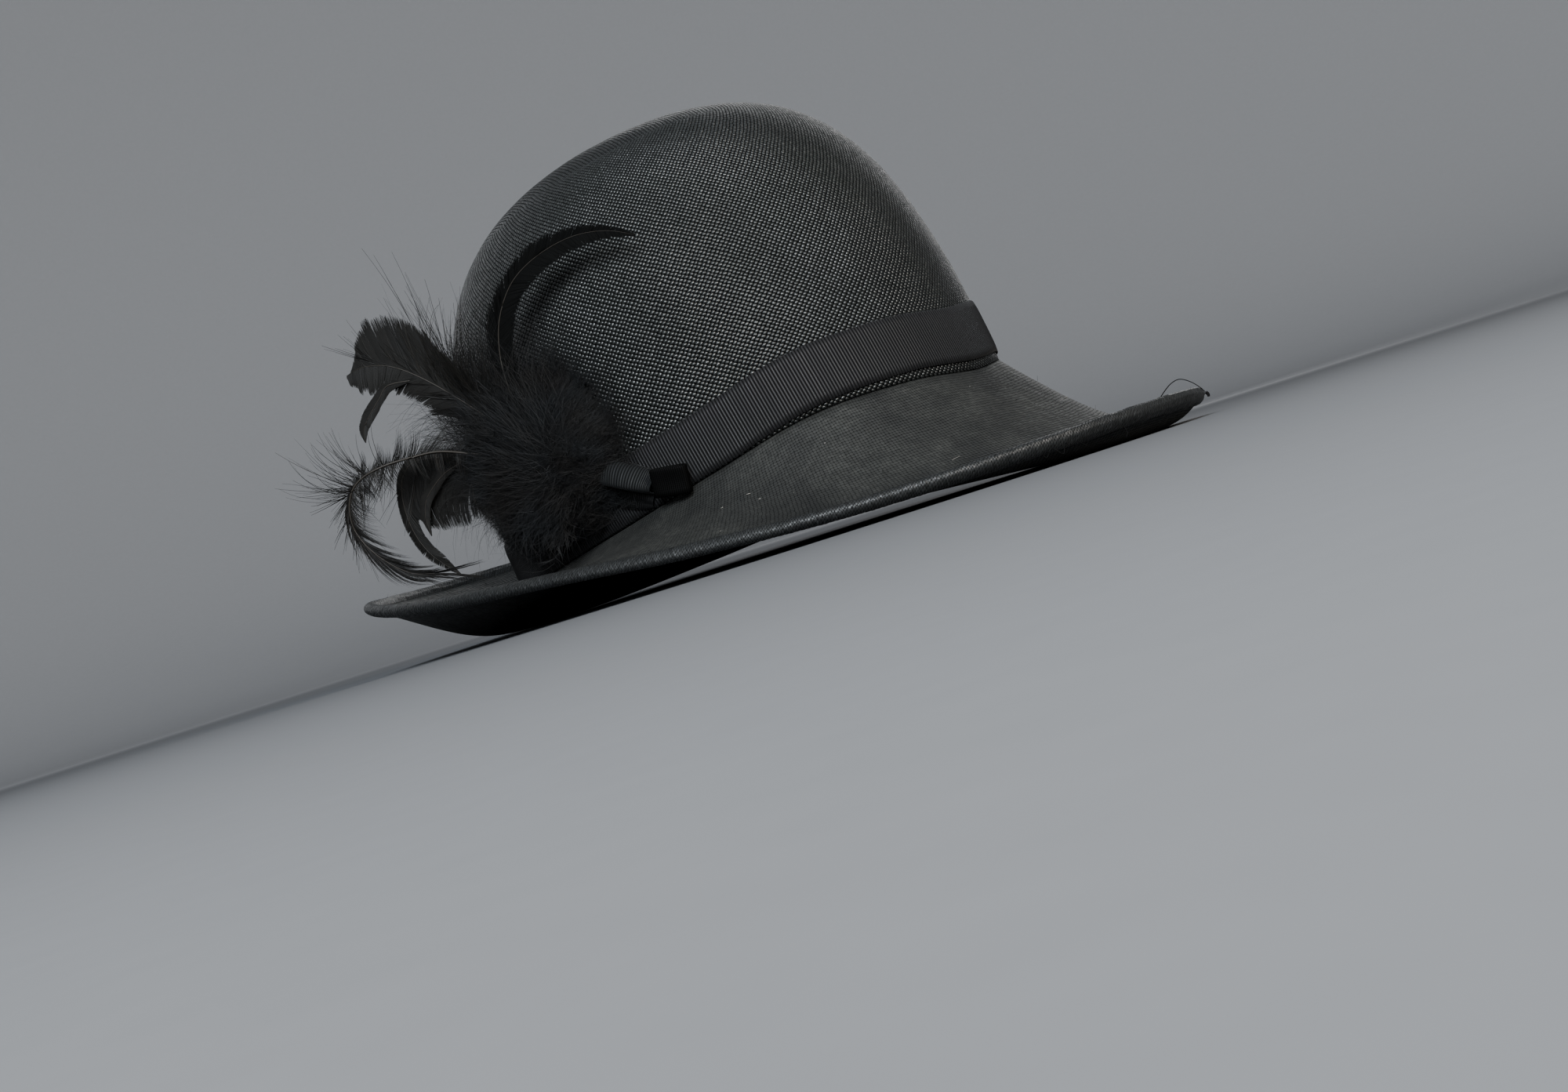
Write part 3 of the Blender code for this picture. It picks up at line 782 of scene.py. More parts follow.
def ribbonMaterial(name, look):
    made, tree, shader = newMaterial(name)
    ribs = readLayer(tree, "ribs")
    cord = placeGroup(tree, cordedCloth, Ribs=ribs, Threads=look["threads"])
    height = cord["Height"]
    worn = placeGroup(tree, wornPatches, Position=objectPosition(tree), Size=look["wornSize"],
                      Edge=look["wornEdge"])
    # Painted shade: the grooves take the deep colour and the crests the raised one, on top of each rib's own
    # random tone.
    tone = calc(tree, "MULTIPLY_ADD", cord["Rib"], look["ribShare"], height, clamp=True)
    colour = blendColours(tree, tone, look["deep"], look["raised"])
    onRib = calc(tree, "MULTIPLY", height, look["wornShare"])
    rubbed = calc(tree, "MULTIPLY", worn["Patch"], onRib, clamp=True)
    colour = blendColours(tree, rubbed, colour, look["worn"])
    if "paintedShadeBelow" in look:
        # Painted shade: the lower half, in the hollow, is darkened towards the shade colour.
        _, across, _ = splitVector(tree, ribs)
        paintedShadeMask = spreadValue(tree, across, look["paintedShadeBelow"], look["paintedShadeBelow"] - 0.1)
        colour = blendColours(tree, paintedShadeMask, colour, look["shade"])
    feed(tree, shader["Base Color"], colour)
    low, high = look["roughness"]
    smooth = calc(tree, "MULTIPLY_ADD", cord["Rib"], low - high, 1 - low)
    feed(tree, shader["Roughness"],
         calc(tree, "SUBTRACT", 1.0, calc(tree, "MULTIPLY", height, smooth), clamp=True))
    feed(tree, shader["Normal"], bumpFrom(tree, height, look["relief"]))
    # The grooves turn metallic, so that only the ribs' crests shine.
    most = look["gloss"] + look["flatGloss"]
    feed(tree, shader["Metallic"],
         calc(tree, "MULTIPLY", calc(tree, "SUBTRACT", 1.0, height), look["gloss"] / most, clamp=True))
    shader["Specular IOR Level"].default_value = most
    shader["Sheen Weight"].default_value = look["sheen"]
    shader["Sheen Roughness"].default_value = look["sheenRoughness"]
    return made


def makeBand(material):
    run = runAlong(roundTheHat(lambda angle: besideCrown(angle, bandFoot(angle) + band["width"] / 2,
                                                         band["thickness"])))
    length, degrees = run[-1], 360 / (len(run) - 1)
    columns = round(length / band["ribPitch"]) * band["stepsPerRib"]
    rows = band["rows"]
    points, k = [], 0
    for column in range(columns):
        # Ribs are even along the band, and the oval's angle isn't.
        want = length * column / columns
        while run[k + 1] < want:
            k += 1
        fromFront = (k + (want - run[k]) / (run[k + 1] - run[k])) * degrees
        wave = math.cos(2 * math.pi * column / band["stepsPerRib"])
        low = bandFoot(fromFront)
        # Up its face, then down its back.
        for row in [*range(rows + 1), rows, rows // 2, 0]:
            share = row / rows
            onFace = len(points) % (rows + 4) <= rows
            scallop = (1.0 if onFace else 0.6) * (row in (0, rows))
            height = low + band["width"] * share + band["scallop"] * wave * (2 * share - 1) * scallop
            off = hat["gap"]
            if onFace:
                crimp = band["crimp"] * noise.noise(Vector((fromFront * 0.09, share * 1.5, 2)))
                off += (band["thickness"] - band["ribDepth"] * (0.5 + 0.5 * wave)
                        - band["roundEdge"] * abs(2 * share - 1) ** 6 + crimp)
            points.append(besideCrown(fromFront - band["lean"] * share, height, off))
    faces, places = gridFaces(columns, rows + 4, looped=True)
    made = makePiece("ribbonBand", points, faces, [material],
                     {"ribs": cornerValues(places, lambda row, column:
                                           (row / band["stepsPerRib"] + 0.5, column / rows, 0.0))})
    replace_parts(made, "hat_band")


makeBand(ribbonMaterial("bandRibbon", ribbon))
print("band drawn round")


def seatOnBand(fromFront, height, standOff, slant, lean=0):
    # X straight out from the band, Y forward, Z up; its front is lowered by the slant, its top leant out.
    spot = besideCrown(fromFront, height, 2 * hat["gap"] + band["thickness"] + standOff)
    _, out = oval(fromFront)
    facing = Matrix.Translation(spot) @ Matrix.Rotation(math.atan2(out.y, out.x), 4, "Z")
    tilt = Matrix.Rotation(math.radians(lean), 4, "Y") @ Matrix.Rotation(math.radians(-slant), 4, "X")
    return facing @ tilt


# Bow: a puffed loop behind and a small folded loop in front of it, both of the same corded ribbon.
bow = {
    "ribbon": 0.0009,
    "ribPitch": 0.0007,
    "ribDepth": 0.00005,
    "hollow": 0.0046,        # how far its lower half is pressed in
    "hollowFrom": (-0.05, 0.32),    # radians below its middle between which the hollow deepens
    "hollowTo": (1.5, 1.2),  # and ends
    "crease": 0.00045,
    "creaseRun": (5.2, 0.6),        # how closely the creases follow one another, and where they start
    "creaseFrom": 0.35,      # share of the puff's length where they begin
    "puffWall": 0.75,        # of the ribbon's thickness
    "puffSteps": 162,
    "puffTurns": 36,
    "loopSteps": 180,
    "loopSag": 0.0006,
    "loopRoundness": (0.8, 0.6),    # 1 is an ellipse; along the band and out from it
    "loopFuller": 0.15,      # how much fuller it is towards the front
    "puffFromFront": -83.5,
    "puffHeight": 0.0095,
    "puffSlant": 35,
    "loopFromFront": -74.4,
    "loopHeight": 0.0041,
    "loopSlant": 17,
    "loopLean": 12,
    "loopStandOff": 0.0034,
    "loopWidth": 0.0090,     # the ribbon is folded in half lengthwise here
    "loopLength": 0.0126,
    "loopDepth": 0.0050,
}

# The puff is a half barrel that opens towards the crown, a row for each section from its back end.
puffRows = (
    # along, half height, depth, rake
    (-0.0096, 0.0076, 0.0054, 0.0028),
    (-0.0050, 0.0077, 0.0062, 0.0018),
    (0.0010, 0.0074, 0.0063, 0.0006),
    (0.0066, 0.0066, 0.0050, 0.0),
    (0.0092, 0.0058, 0.0032, 0.0),
)


def makePuff(material):
    seat = seatOnBand(bow["puffFromFront"], bow["puffHeight"], 0.0, bow["puffSlant"])
    length = puffRows[-1][0] - puffRows[0][0]
    steps, turns = bow["puffSteps"], bow["puffTurns"]
    ribs = length / bow["ribPitch"]
    deepest = max(row[2] for row in puffRows)
    often, first = bow["creaseRun"]
    points = []
    for k in range(steps + 1):
        along, halfHeight, depth, rake = alongRows(puffRows, k / steps)
        outer, inner = [], []
        for i in range(turns + 1):
            turn = math.pi * (i / turns - 0.5)
            wave = 0.5 + 0.5 * math.cos(2 * math.pi * along / bow["ribPitch"])
            # Soft creases gather towards the front end, where the ribbon is drawn together.
            gather = easeBetween(bow["creaseFrom"], 1.0, k / steps)
            crease = math.sin(often * turn + first) * bow["crease"] * gather
            sag = bow["hollow"] * depth / deepest * easeBetween(*bow["hollowFrom"], -turn)
            sag *= easeBetween(*bow["hollowTo"], -turn)
            ahead = along - rake * math.sin(turn)
            skin = crease - sag - bow["ribDepth"] * (1 - wave)
            outer.append(Vector(((depth + skin) * math.cos(turn), ahead,
                                 (halfHeight + skin * 0.6) * math.sin(turn))))
            thin = bow["ribbon"] * bow["puffWall"] + sag
            inner.append(Vector(((depth - thin + crease) * math.cos(turn), ahead,
                                 (halfHeight - thin) * math.sin(turn))))
        points += [seat @ spot for spot in outer + inner[::-1]]
    width = 2 * (turns + 1)
    faces, places = gridFaces(steps, width)
    faces.append(tuple(range(width))[::-1])
    faces.append(tuple(range(steps * width, (steps + 1) * width)))
    places.append([(0, i) for i in range(width)][::-1])
    places.append([(steps, i) for i in range(width)])

    def ribsAt(row, column):
        across = min(column, 2 * turns + 1 - column) / turns
        return (ribs * row / steps, across, 0.0)

    made = makePiece("bowBackPuff", points, faces, [material],
                     {"ribs": cornerValues(places, ribsAt)})
    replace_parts(made, "bow_back_loop")


def makeFrontLoop(material):
    seat = seatOnBand(bow["loopFromFront"], bow["loopHeight"], bow["loopStandOff"], bow["loopSlant"],
                      bow["loopLean"])
    halfLength, halfDepth, halfWidth = bow["loopLength"] / 2, bow["loopDepth"] / 2, bow["loopWidth"] / 2
    steps = bow["loopSteps"]
    alongRoundness, outRoundness = bow["loopRoundness"]
    spots = []
    for k in range(steps):
        turn = 2 * math.pi * k / steps
        flat = math.copysign(abs(math.cos(turn)) ** alongRoundness, math.cos(turn))
        full = math.copysign(abs(math.sin(turn)) ** outRoundness, math.sin(turn))
        full *= 1 + bow["loopFuller"] * flat
        spots.append((full, flat))
    run = runAlong([Vector((full * halfDepth, flat * halfLength)) for full, flat in spots + spots[:1]])
    length = run[-1]
    ribs = round(length / bow["ribPitch"])
    # The fold's section, as (depth in ribbons, height in halves): over the top fold and back inside.
    section = [(0, share) for share in (-1, -0.6, -0.2, 0.2, 0.6, 0.9)]
    section += [(0.15, 0.98), (0.5, 1), (0.85, 0.98)]
    section += [(1, share) for share in (0.9, 0.6, 0.2, -0.2, -0.6, -1)]
    section += [(0.62, share) for share in (-1, -0.5, 0, 0.5, 0.84)]
    section += [(0.38, share) for share in (0.84, 0.5, 0, -0.5, -1)]
    points = []
    for (full, flat), way in zip(spots, run):
        wave = 0.5 + 0.5 * math.cos(2 * math.pi * way / length * ribs)
        for deep, up in section:
            inwards = bow["ribbon"] * deep + (bow["ribDepth"] * (1 - wave) if deep == 0 else 0.0)
            sink = bow["loopSag"] * math.exp(-up ** 2 * 2) * (abs(full) ** 3)
            points.append(seat @ Vector(((halfDepth - inwards - sink) * full,
                                         (halfLength - inwards) * flat, up * halfWidth)))
    width = len(section)
    faces, places = gridFaces(steps, width, looped=True, flipped=True)
    made = makePiece("bowFrontLoop", points, faces, [material],
                     {"ribs": cornerValues(places, lambda row, column:
                                           (ribs * run[row] / length + 0.5, column / width, 0.0))})
    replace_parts(made, "bow_front_loop")


bowLook = dict(ribbon, roughness=(0.5, 0.62), relief=0.00003)
# The puff's shade colour is painted shade on its lower half.
puffLook = dict(bowLook, deep=(0.0024, 0.0027, 0.0029, 1), raised=(0.0046, 0.0053, 0.0055, 1), gloss=0.08,
                flatGloss=0.04, paintedShadeBelow=0.52, shade=(0.0006, 0.0006, 0.0007, 1))
# The front loop's colours are a darker copy of the same ribbon's: painted shade on the loop, which faces
# down.
loopShadedLook = dict(bowLook, deep=(0.0008, 0.0008, 0.0008, 1), raised=(0.0013, 0.0013, 0.0013, 1), gloss=0.02,
                flatGloss=0.02, worn=(0.002, 0.002, 0.002, 1), sheen=0.0)
makePuff(ribbonMaterial("puffRibbon", puffLook))
makeFrontLoop(ribbonMaterial("loopRibbonShaded", loopShadedLook))
print("bow tied")

# Feathers spring from a pin behind the bow. Each lies in an upright plane turned outwards from straight
# back. Points are millimetres from the pin: the quill as (back, up, out), the vane's edge on either side
# as (back, up), or its reach from the quill. For the barbs: lean bows them ahead (or back), fray makes
# them uneven, locks and split part them, curl lifts the locks out of the plane, loose is the share that
# has come apart into hairs, and follow is how far these trail along the outer half of the quill.
pin = (-0.090, 0.0, 0.014)
tightVane = {"count": 900, "starts": 0.0, "sweep": 0.11, "lean": 0.02, "fray": 0.04, "locks": 9,
             "split": 0.03, "curl": 0.02, "loose": 0.04}
feathers = {
    "sickleFeather": {
        "node": "sickle_feather", "vane": "sickleVane", "turned": 15, "thick": 0.00022, "wide": 0.00021,
        "quill": ((10, 33, 0), (9.4, 42, 0), (7, 53, 0), (1.5, 63, 0.4), (-7.5, 70.8, 0.4), (-19, 74.2, 0),
                  (-32, 74.2, -1), (-43, 70.6, -2), (-51, 65, -3)),
        "over": dict(tightVane, reach=(4.0, 4.8, 5.2, 5.4, 5.6, 5.2, 4.2, 2.6, 0.4), fray=0.1, loose=0.2),
        "under": dict(tightVane, reach=(4.2, 5.0, 5.2, 5.2, 5.0, 4.6, 3.6, 2.2, 0.4), fray=0.2, split=0.05,
                      loose=0.35, curl=0.03),
    },
    "upperPlume": {
        "node": "upper_plume", "turned": 25, "thick": 0.00026, "wide": 0.00019,
        "quill": ((14, 27, -6), (19.5, 35.4, -2.5), (25, 44.8, 0), (33.4, 56.7, 0.6), (41.5, 65, 1),
                  (50, 69, 0.6), (56.4, 69.2, 0)),
        "over": dict(tightVane, count=1500, edge=((17, 44), (22, 54), (24, 60), (26, 67), (28.5, 73.5),
                                                  (33, 79.5), (39, 82.5), (45, 82), (49.5, 77.5), (53, 71.5),
                                                  (57, 68)),
                     sweep=0.0, lean=0.05, fray=0.12, locks=17, split=0.06, curl=0.035, loose=0.30),
        "under": dict(tightVane, count=1300, edge=((24, 36), (30, 41), (35, 44.6), (38, 48.5), (41, 54),
                                                   (45, 57.5), (50, 59), (54, 61.5), (57, 65.5)),
                      sweep=0.0, lean=0.04, fray=0.20, locks=22, split=0.14, curl=0.05, loose=0.30),
    },
    "curledTip": {
        "node": "curled_tip", "turned": 25, "thick": 0.0002, "wide": 0.00016,
        "quill": ((37, 57.5, 2.6), (44.4, 59.3, 3), (49, 56.6, 3), (54, 53.4, 3), (57.7, 50.2, 2.8),
                  (59.3, 46.2, 2.4)),
        "over": dict(tightVane, count=420, sweep=0.22, reach=(0.8, 1.6, 2.2, 2.4, 1.8, 0.2)),
        "under": dict(tightVane, count=420, sweep=0.22, reach=(0.8, 1.6, 2.0, 2.0, 1.6, 0.2), fray=0.12),
    },
    "curledFeather": {
        "node": "curled_feather", "turned": 30, "thick": 0.00044, "wide": 0.00009,
        "quill": ((9, 18.5, -6), (18, 21, -6), (28, 27, -4.5), (38, 32.5, -1.5), (47, 34.4, 1.2),
                  (56, 35.4, 3.2), (63.6, 34.9, 3.4), (68.6, 32.4, 3), (72, 27.4, 2.4), (73.2, 21, 1.8),
                  (71.6, 14, 1.4), (67.6, 6.6, 1), (62, 0.4, 0.6), (55.5, -2.6, 0)),
        "over": dict(tightVane, count=1500, reach=(3, 7, 10, 9, 7, 5.5, 4, 3.4, 3.4, 3.6, 3.8, 3.6, 3, 2),
                     starts=0.12, sweep=0.07, lean=-0.08, fray=0.7, locks=40, split=0.35, curl=0.5, loose=1.0,
                     follow=0.17),
        "under": dict(tightVane, count=1300, reach=(3, 5, 7, 8, 9, 9, 8, 6, 4.5, 4, 4, 3.6, 3, 1.5),
                      starts=0.12, sweep=0.10, lean=0.14, fray=0.6, locks=34, split=0.4, curl=0.35, loose=1.0,
                      follow=0.15),
    },
    "lowerPlume": {
        "node": "lower_plume", "turned": 20, "thick": 0.00024, "wide": 0.00016,
        "quill": ((10, 9, -4), (15, 16.5, -1.5), (20, 22.6, 0), (27, 26.4, 0), (34, 29, 0.4), (42, 32.4, 0.6),
                  (49, 34.4, 0.8), (54, 32.6, 0.8), (57.4, 28, 0.6), (59.4, 20, 0.4), (59.4, 12, 0),
                  (57, 4, -0.2), (50.6, -5.8, -0.4)),
        "over": dict(tightVane, count=900, sweep=0.06,
                     reach=(1.5, 2, 2.6, 2.6, 2.2, 2, 2, 2, 2, 2.2, 2.2, 2, 0.2)),
        "under": dict(tightVane, count=1600, edge=((22, 2), (30, 3), (37, 7), (43, 9), (48, 10.5), (52, 12),
                                                   (54.5, 14.5), (56, 17), (56.6, 13), (55.6, 7.5),
                                                   (53, 1.5), (50.6, -5.8)),
                      sweep=0.0, lean=0.30, fray=0.08, locks=12, split=0.06, curl=0.05, loose=0.16),
    },
    "pointedTip": {
        "node": "pointed_tip", "turned": 20, "thick": 0.0002, "wide": 0.00016,
        "quill": ((34.4, 26.7, 1.8), (40.3, 26.1, 2.2), (45.8, 23.8, 2.5), (50, 21, 2.5), (52.6, 16.5, 2.4),
                  (53.6, 10, 2.2)),
        "over": dict(tightVane, count=400, sweep=0.22, reach=(0.3, 1.2, 1.9, 2.2, 1.8, 0.2)),
        "under": dict(tightVane, count=400, sweep=0.22, reach=(0.3, 1.2, 1.9, 2.0, 1.6, 0.2)),
    },
}

# What the barbs of every vane have in common.
barb = {
    "lockUneven": 0.7,       # how much of the vane's fray goes by lock
    "ownUneven": 0.5,        # and by barb
    "shorter": 0.35,         # and how much shorter it leaves all of them
    "sway": (0.012, 0.15),   # of its length, for a barb that lies closed and for a loose one
    "curl": (0.8, 1.6),      # the same, of the vane's curl
    "ownCurl": 0.25,
    "sink": 0.05,
    "layer": 0.0001,         # neighbours lie this far over or under each other
    "tone": (0.3, 0.4, 0.25),       # for all, by lock and by barb
    "tilt": (0.10, 0.8),     # by barb, and across a lock that is split
    "taper": (0.85, 2.4),    # how much is lost towards the tip, and how late
    "looseRadius": 0.00006,
}

# Long single hairs that stray: shares of the quill from and to, side (1 over, -1 under), how many, angle
# from the quill, length in millimetres, and how they curve on.
strayHairs = {
    "upperPlume": ((0.03, 0.50, 1, 300, 33, 36, -0.14), (0.1, 0.45, 1, 80, 36, 44, -0.10),
                   (0.4, 0.75, 1, 60, 30, 22, -0.08), (0.2, 0.6, -1, 90, 32, 12, 0.2)),
    "curledFeather": ((0.36, 0.58, 1, 56, 62, 21, -0.16), (0.42, 0.56, 1, 26, 74, 27, -0.26),
                      (0.54, 0.66, 1, 40, 26, 12, 0.0), (0.60, 0.76, 1, 18, 18, 14, 0.1),
                      (0.88, 1.0, 1, 24, 8, 18, 0.0), (0.56, 0.7, -1, 26, 30, 12, 0.25),
                      (0.34, 0.58, -1, 60, 66, 15, 0.15)),
    "sickleFeather": ((0.05, 0.35, -1, 90, 42, 11, 0.2), (0.3, 0.6, -1, 40, 34, 8, 0.2)),
    "lowerPlume": ((0.1, 0.5, -1, 90, 60, 26, -0.3),),
}

# Stray hairs come in loose groups that share a root and a way.
strayGroup = {
    "most": 5,               # hairs in a group
    "angle": (13, 3),        # degrees by which groups differ, and the hairs in one
    "hook": (0.12, 0.03),    # the same, for how they curve on
    "lift": (-0.3, 0.25),    # out of the feather's plane, from and to
    "ownLift": 0.04,
    "root": 0.006,
    "lengths": (0.35, 1.1),  # shortest and longest, of the length in the table
    "waver": 0.02,
    "radius": (0.00007, 0.00014),
}

# Downy tufts at the feathers' feet, fanned out behind the bow: direction from straight back and reach.
tufts = {
    "count": 7200,
    "plumelets": 80,
    "turned": 22,
    "foot": (3, 8),
    "footSpread": (3.5, 4.5),
    "fan": ((-48, 14), (-30, 24), (-8, 30), (12, 36), (28, 42), (42, 49), (56, 56), (72, 54), (95, 46)),
    "depth": 6.0,            # how thick the fan is, half way
    "behind": 2.5,           # and how far it lies behind the plumes
    "clumps": 26,            # how fine the clumps are, and how much further they reach
    "clumpReach": 0.10,
    "directionSpread": 4,
    "reachSpread": 0.05,
    "from": (0.1, 0.75),     # share of the reach where a hair starts, and how much of it the hair covers
    "cover": (0.25, 0.5),
    "curl": 0.42,
    "wave": (0.3, 1.3),
    "radius": 0.00005,
    "barbs": 24,             # on each side of a plumelet, and how long they are
    "barbLength": (0.004, 0.008),
}

# Small downy feathers, in the tufts and in the fluff.
plumelet = {
    "lean": (40, 8),         # degrees between a barb and the spine, and how much that varies
    "lift": 0.22,
    "tipShortens": 0.55,
    "radius": 0.00005,
    "toneSpread": 0.15,
}


def newStrands():
    return {"points": [], "faces": [], "tones": [], "kinds": []}


def addBlade(strands, path, sides, tone, kind=0):
    # A flat strip; sides gives half its width at each point, as a vector.
    start, last = len(strands["points"]), len(path) - 1
    for k, (spot, side) in enumerate(zip(path, sides)):
        strands["points"] += [spot - side, spot + side]
        strands["tones"] += [tone, k / last, 0.0, tone, k / last, 1.0]
    for k in range(last):
        a = start + 2 * k
        strands["faces"].append((a, a + 1, a + 3, a + 2))
        strands["kinds"].append(kind)


def waysAlong(path):
    # Where the path heads at each of its points.
    last = len(path) - 1
    return [path[min(k + 1, last)] - path[max(k - 1, 0)] for k in range(last + 1)]


def addFineHair(strands, path, facing, radius, tone, taper=0.85):
    last = len(path) - 1
    sides = [ahead.cross(facing).normalized() * radius * (1 - taper * k / last)
             for k, ahead in enumerate(waysAlong(path))]
    addBlade(strands, path, sides, tone)


def addPlumelet(strands, spine, out, look, tone, rng):
    # Soft barbs on both sides of a thin spine, shorter towards its tip.
    length = rng.uniform(*look["barbLength"])
    for k in range(look["barbs"]):
        share = (k + rng.random()) / look["barbs"]
        i = min(int(share * (len(spine) - 1)), len(spine) - 2)
        spot = spine[i].lerp(spine[i + 1], share * (len(spine) - 1) - i)
        ahead = (spine[i + 1] - spine[i]).normalized()
        beside = ahead.cross(out).normalized()
        for side in (-1, 1):
            reach = length * rng.uniform(0.6, 1.1) * (1 - plumelet["tipShortens"] * share)
            reach *= min(1.0, 0.5 + 4 * share)
            lean, lift = math.radians(rng.gauss(*plumelet["lean"])), rng.gauss(0, plumelet["lift"])
            path = [spot + (ahead * (math.cos(lean) * s + 0.3 * s * s)
                            + beside * side * (math.sin(lean) * s - 0.15 * s * s)
                            + out * lift * s * s) * reach for s in (0, 0.25, 0.5, 0.75, 1)]
            facing = out + Vector([rng.uniform(-0.5, 0.5) for _ in range(3)])
            radius = plumelet["radius"] * rng.uniform(0.8, 1.6)
            own = clamp01(tone + rng.uniform(-plumelet["toneSpread"], plumelet["toneSpread"]))
            addFineHair(strands, path, facing, radius, own, 0.7)


def addTube(strands, path, radius, tone, kind, taper, sides=6):
    start, last = len(strands["points"]), len(path) - 1
    for k, (spot, way) in enumerate(zip(path, waysAlong(path))):
        ahead = way.normalized()
        side = ahead.orthogonal().normalized()
        other = ahead.cross(side)
        thick = radius * (1 - taper * (k / last) ** 1.3)
        for i in range(sides):
            turn = 2 * math.pi * i / sides
            strands["points"].append(spot + (side * math.cos(turn) + other * math.sin(turn)) * thick)
            strands["tones"] += [tone, k / last, 0.5]
    faces, _ = gridFaces(last, sides)
    strands["faces"] += [tuple(start + corner for corner in face) for face in faces]
    strands["kinds"] += [kind] * len(faces)


def makeStrandPiece(name, strands, materials):
    return makePiece(name, strands["points"], strands["faces"], materials,
                     pointLayers={"barb": strands["tones"]}, faceMaterials=strands["kinds"])


def onLine(points, share):
    # A place on the smooth line through points given as (back, up) or (back, up, out).
    back, up, *out = alongRows(points, share)
    return Vector((back, out[0] if out else 0.0, up)) * 0.001


def quillAhead(quill, share):
    return (onLine(quill, share + 0.01) - onLine(quill, share - 0.01)).normalized()


def besideWay(ahead, side):
    return Vector((-ahead.z, 0, ahead.x)).normalized() * side


def vaneEdge(quill, vane, side, share):
    if "edge" in vane:
        return onLine(vane["edge"], share)
    reach, = alongRows([(reach,) for reach in vane["reach"]], share)
    return onLine(quill, share) + besideWay(quillAhead(quill, share), side) * reach * 0.001


def besideQuill(quill, vane, side, share, out):
    # A place that keeps its distance from the quill; past the tip it runs straight on.
    nearTip = 0.985
    inside = min(share, nearTip)
    past = quillAhead(quill, nearTip) * max(0.0, share - 1) * 0.09
    aside = vaneEdge(quill, vane, side, inside) - onLine(quill, inside)
    return onLine(quill, share) + aside * out ** 1.5 + past


bladeShares = [k / 6 for k in range(7)]      # where a barb's points lie along it


def combVane(strands, place, feather, side, rng):
    quill, vane = feather["quill"], feather["over" if side > 0 else "under"]
    spin, locks = place.to_3x3(), vane["locks"]
    tones, (ownTilt, lockTilt), (taper, bluntness) = barb["tone"], barb["tilt"], barb["taper"]
    seed = len(quill) * 7 + side
    lockLook = [(rng.uniform(-1, 1), rng.uniform(-1, 1), rng.random()) for _ in range(locks + 3)]
    for k in range(vane["count"]):
        share = (k + rng.random()) / vane["count"]
        root = vane["starts"] + (1 - vane["starts"]) * share
        warped = clamp01(share + 0.5 * noise.noise(Vector((share * locks * 0.5, seed, 0))) / locks) * locks
        cell = min(int(warped), locks)
        longer, lift, lockTone = lockLook[cell]
        inLock = warped - cell - 0.5
        fine = rng.uniform(-1, 1)
        reached = share + vane["sweep"] * (1 - share) - vane["split"] * inLock / locks
        start = onLine(quill, root)
        span = vaneEdge(quill, vane, side, reached) - start
        span.y = 0
        grow = 1 + vane["fray"] * (barb["lockUneven"] * longer + barb["ownUneven"] * fine - barb["shorter"])
        stop = start + span * grow
        isLoose = rng.random() < vane["loose"]
        length = span.length * grow
        sway = rng.uniform(-1, 1) * barb["sway"][isLoose] * length
        bend = start.lerp(stop, 0.5) + quillAhead(quill, root) * (length * vane["lean"] + sway)
        trailing = easeBetween(0.48, 0.64, root) if "follow" in vane else 0.0
        curl = vane["curl"] * (lift + barb["ownCurl"] * fine) * barb["curl"][isLoose]
        rise = length * (curl - barb["sink"])
        path = []
        for s in bladeShares:
            spot = start.lerp(bend, s).lerp(bend.lerp(stop, s), s)
            if trailing:
                trail = besideQuill(quill, vane, side, root + vane["follow"] * s * grow, s * grow)
                spot = spot.lerp(trail, trailing)
            spot.y = start.y + rise * s * s + barb["layer"] * fine
            path.append(place @ spot)
        tone = clamp01(tones[0] + tones[1] * lockTone + tones[2] * fine)
        if isLoose:
            facing = spin @ Vector((rng.uniform(-1, 1), 1.2, rng.uniform(-1, 1)))
            addFineHair(strands, path, facing, barb["looseRadius"], tone)
            continue
        sides = []
        tilt = ownTilt * fine + lockTilt * vane["split"] * inLock
        for s, way in zip(bladeShares, waysAlong(path)):
            run = way.normalized()
            flat = (spin @ Vector((0, 1, 0))).cross(run).normalized()
            wide = feather["wide"] * (1 - taper * s ** bluntness)
            sides.append((flat * math.cos(tilt) + flat.cross(run) * math.sin(tilt)) * wide)
        addBlade(strands, path, sides, tone)


def addStrays(strands, place, quill, strays, rng):
    (angles, ownAngles), (hooks, ownHooks) = strayGroup["angle"], strayGroup["hook"]
    waver = strayGroup["waver"]
    for low, high, side, count, angle, length, hook in strays:
        left = 0
        for _ in range(count):
            if left == 0:
                left = rng.randint(1, strayGroup["most"])
                groupShare, groupAngle = rng.uniform(low, high), angle + rng.gauss(0, angles)
                groupHook, groupLift = hook + rng.gauss(0, hooks), rng.uniform(*strayGroup["lift"])
            left -= 1
            share = groupShare + rng.gauss(0, strayGroup["root"])
            root, ahead = onLine(quill, share), quillAhead(quill, share)
            beside = besideWay(ahead, side)
            lean = math.radians(groupAngle + rng.gauss(0, ownAngles))
            reach = length * 0.001 * rng.uniform(*strayGroup["lengths"])
            curve, lift = groupHook + rng.gauss(0, ownHooks), groupLift + rng.gauss(0, strayGroup["ownLift"])
            wave, turn = rng.uniform(-waver, waver), rng.uniform(0, 6)
            path = []
            for i in range(11):
                s = i / 10
                forward = math.cos(lean) * s + curve * s * s + wave * math.sin(5 * s + turn) * s
                sideways = math.sin(lean) * s - abs(curve) * 0.3 * s * s
                path.append(place @ (root + (ahead * forward + beside * sideways
                                             + Vector((0, lift * s * s, 0))) * reach))
            facing = place.to_3x3() @ Vector((rng.uniform(-1, 1), 1, rng.uniform(-1, 1)))
            addFineHair(strands, path, facing, rng.uniform(*strayGroup["radius"]), rng.random(), 0.7)


def featherPlace(turned):
    return Matrix.Translation(pin) @ Matrix.Rotation(math.radians(90 + turned), 4, "Z")


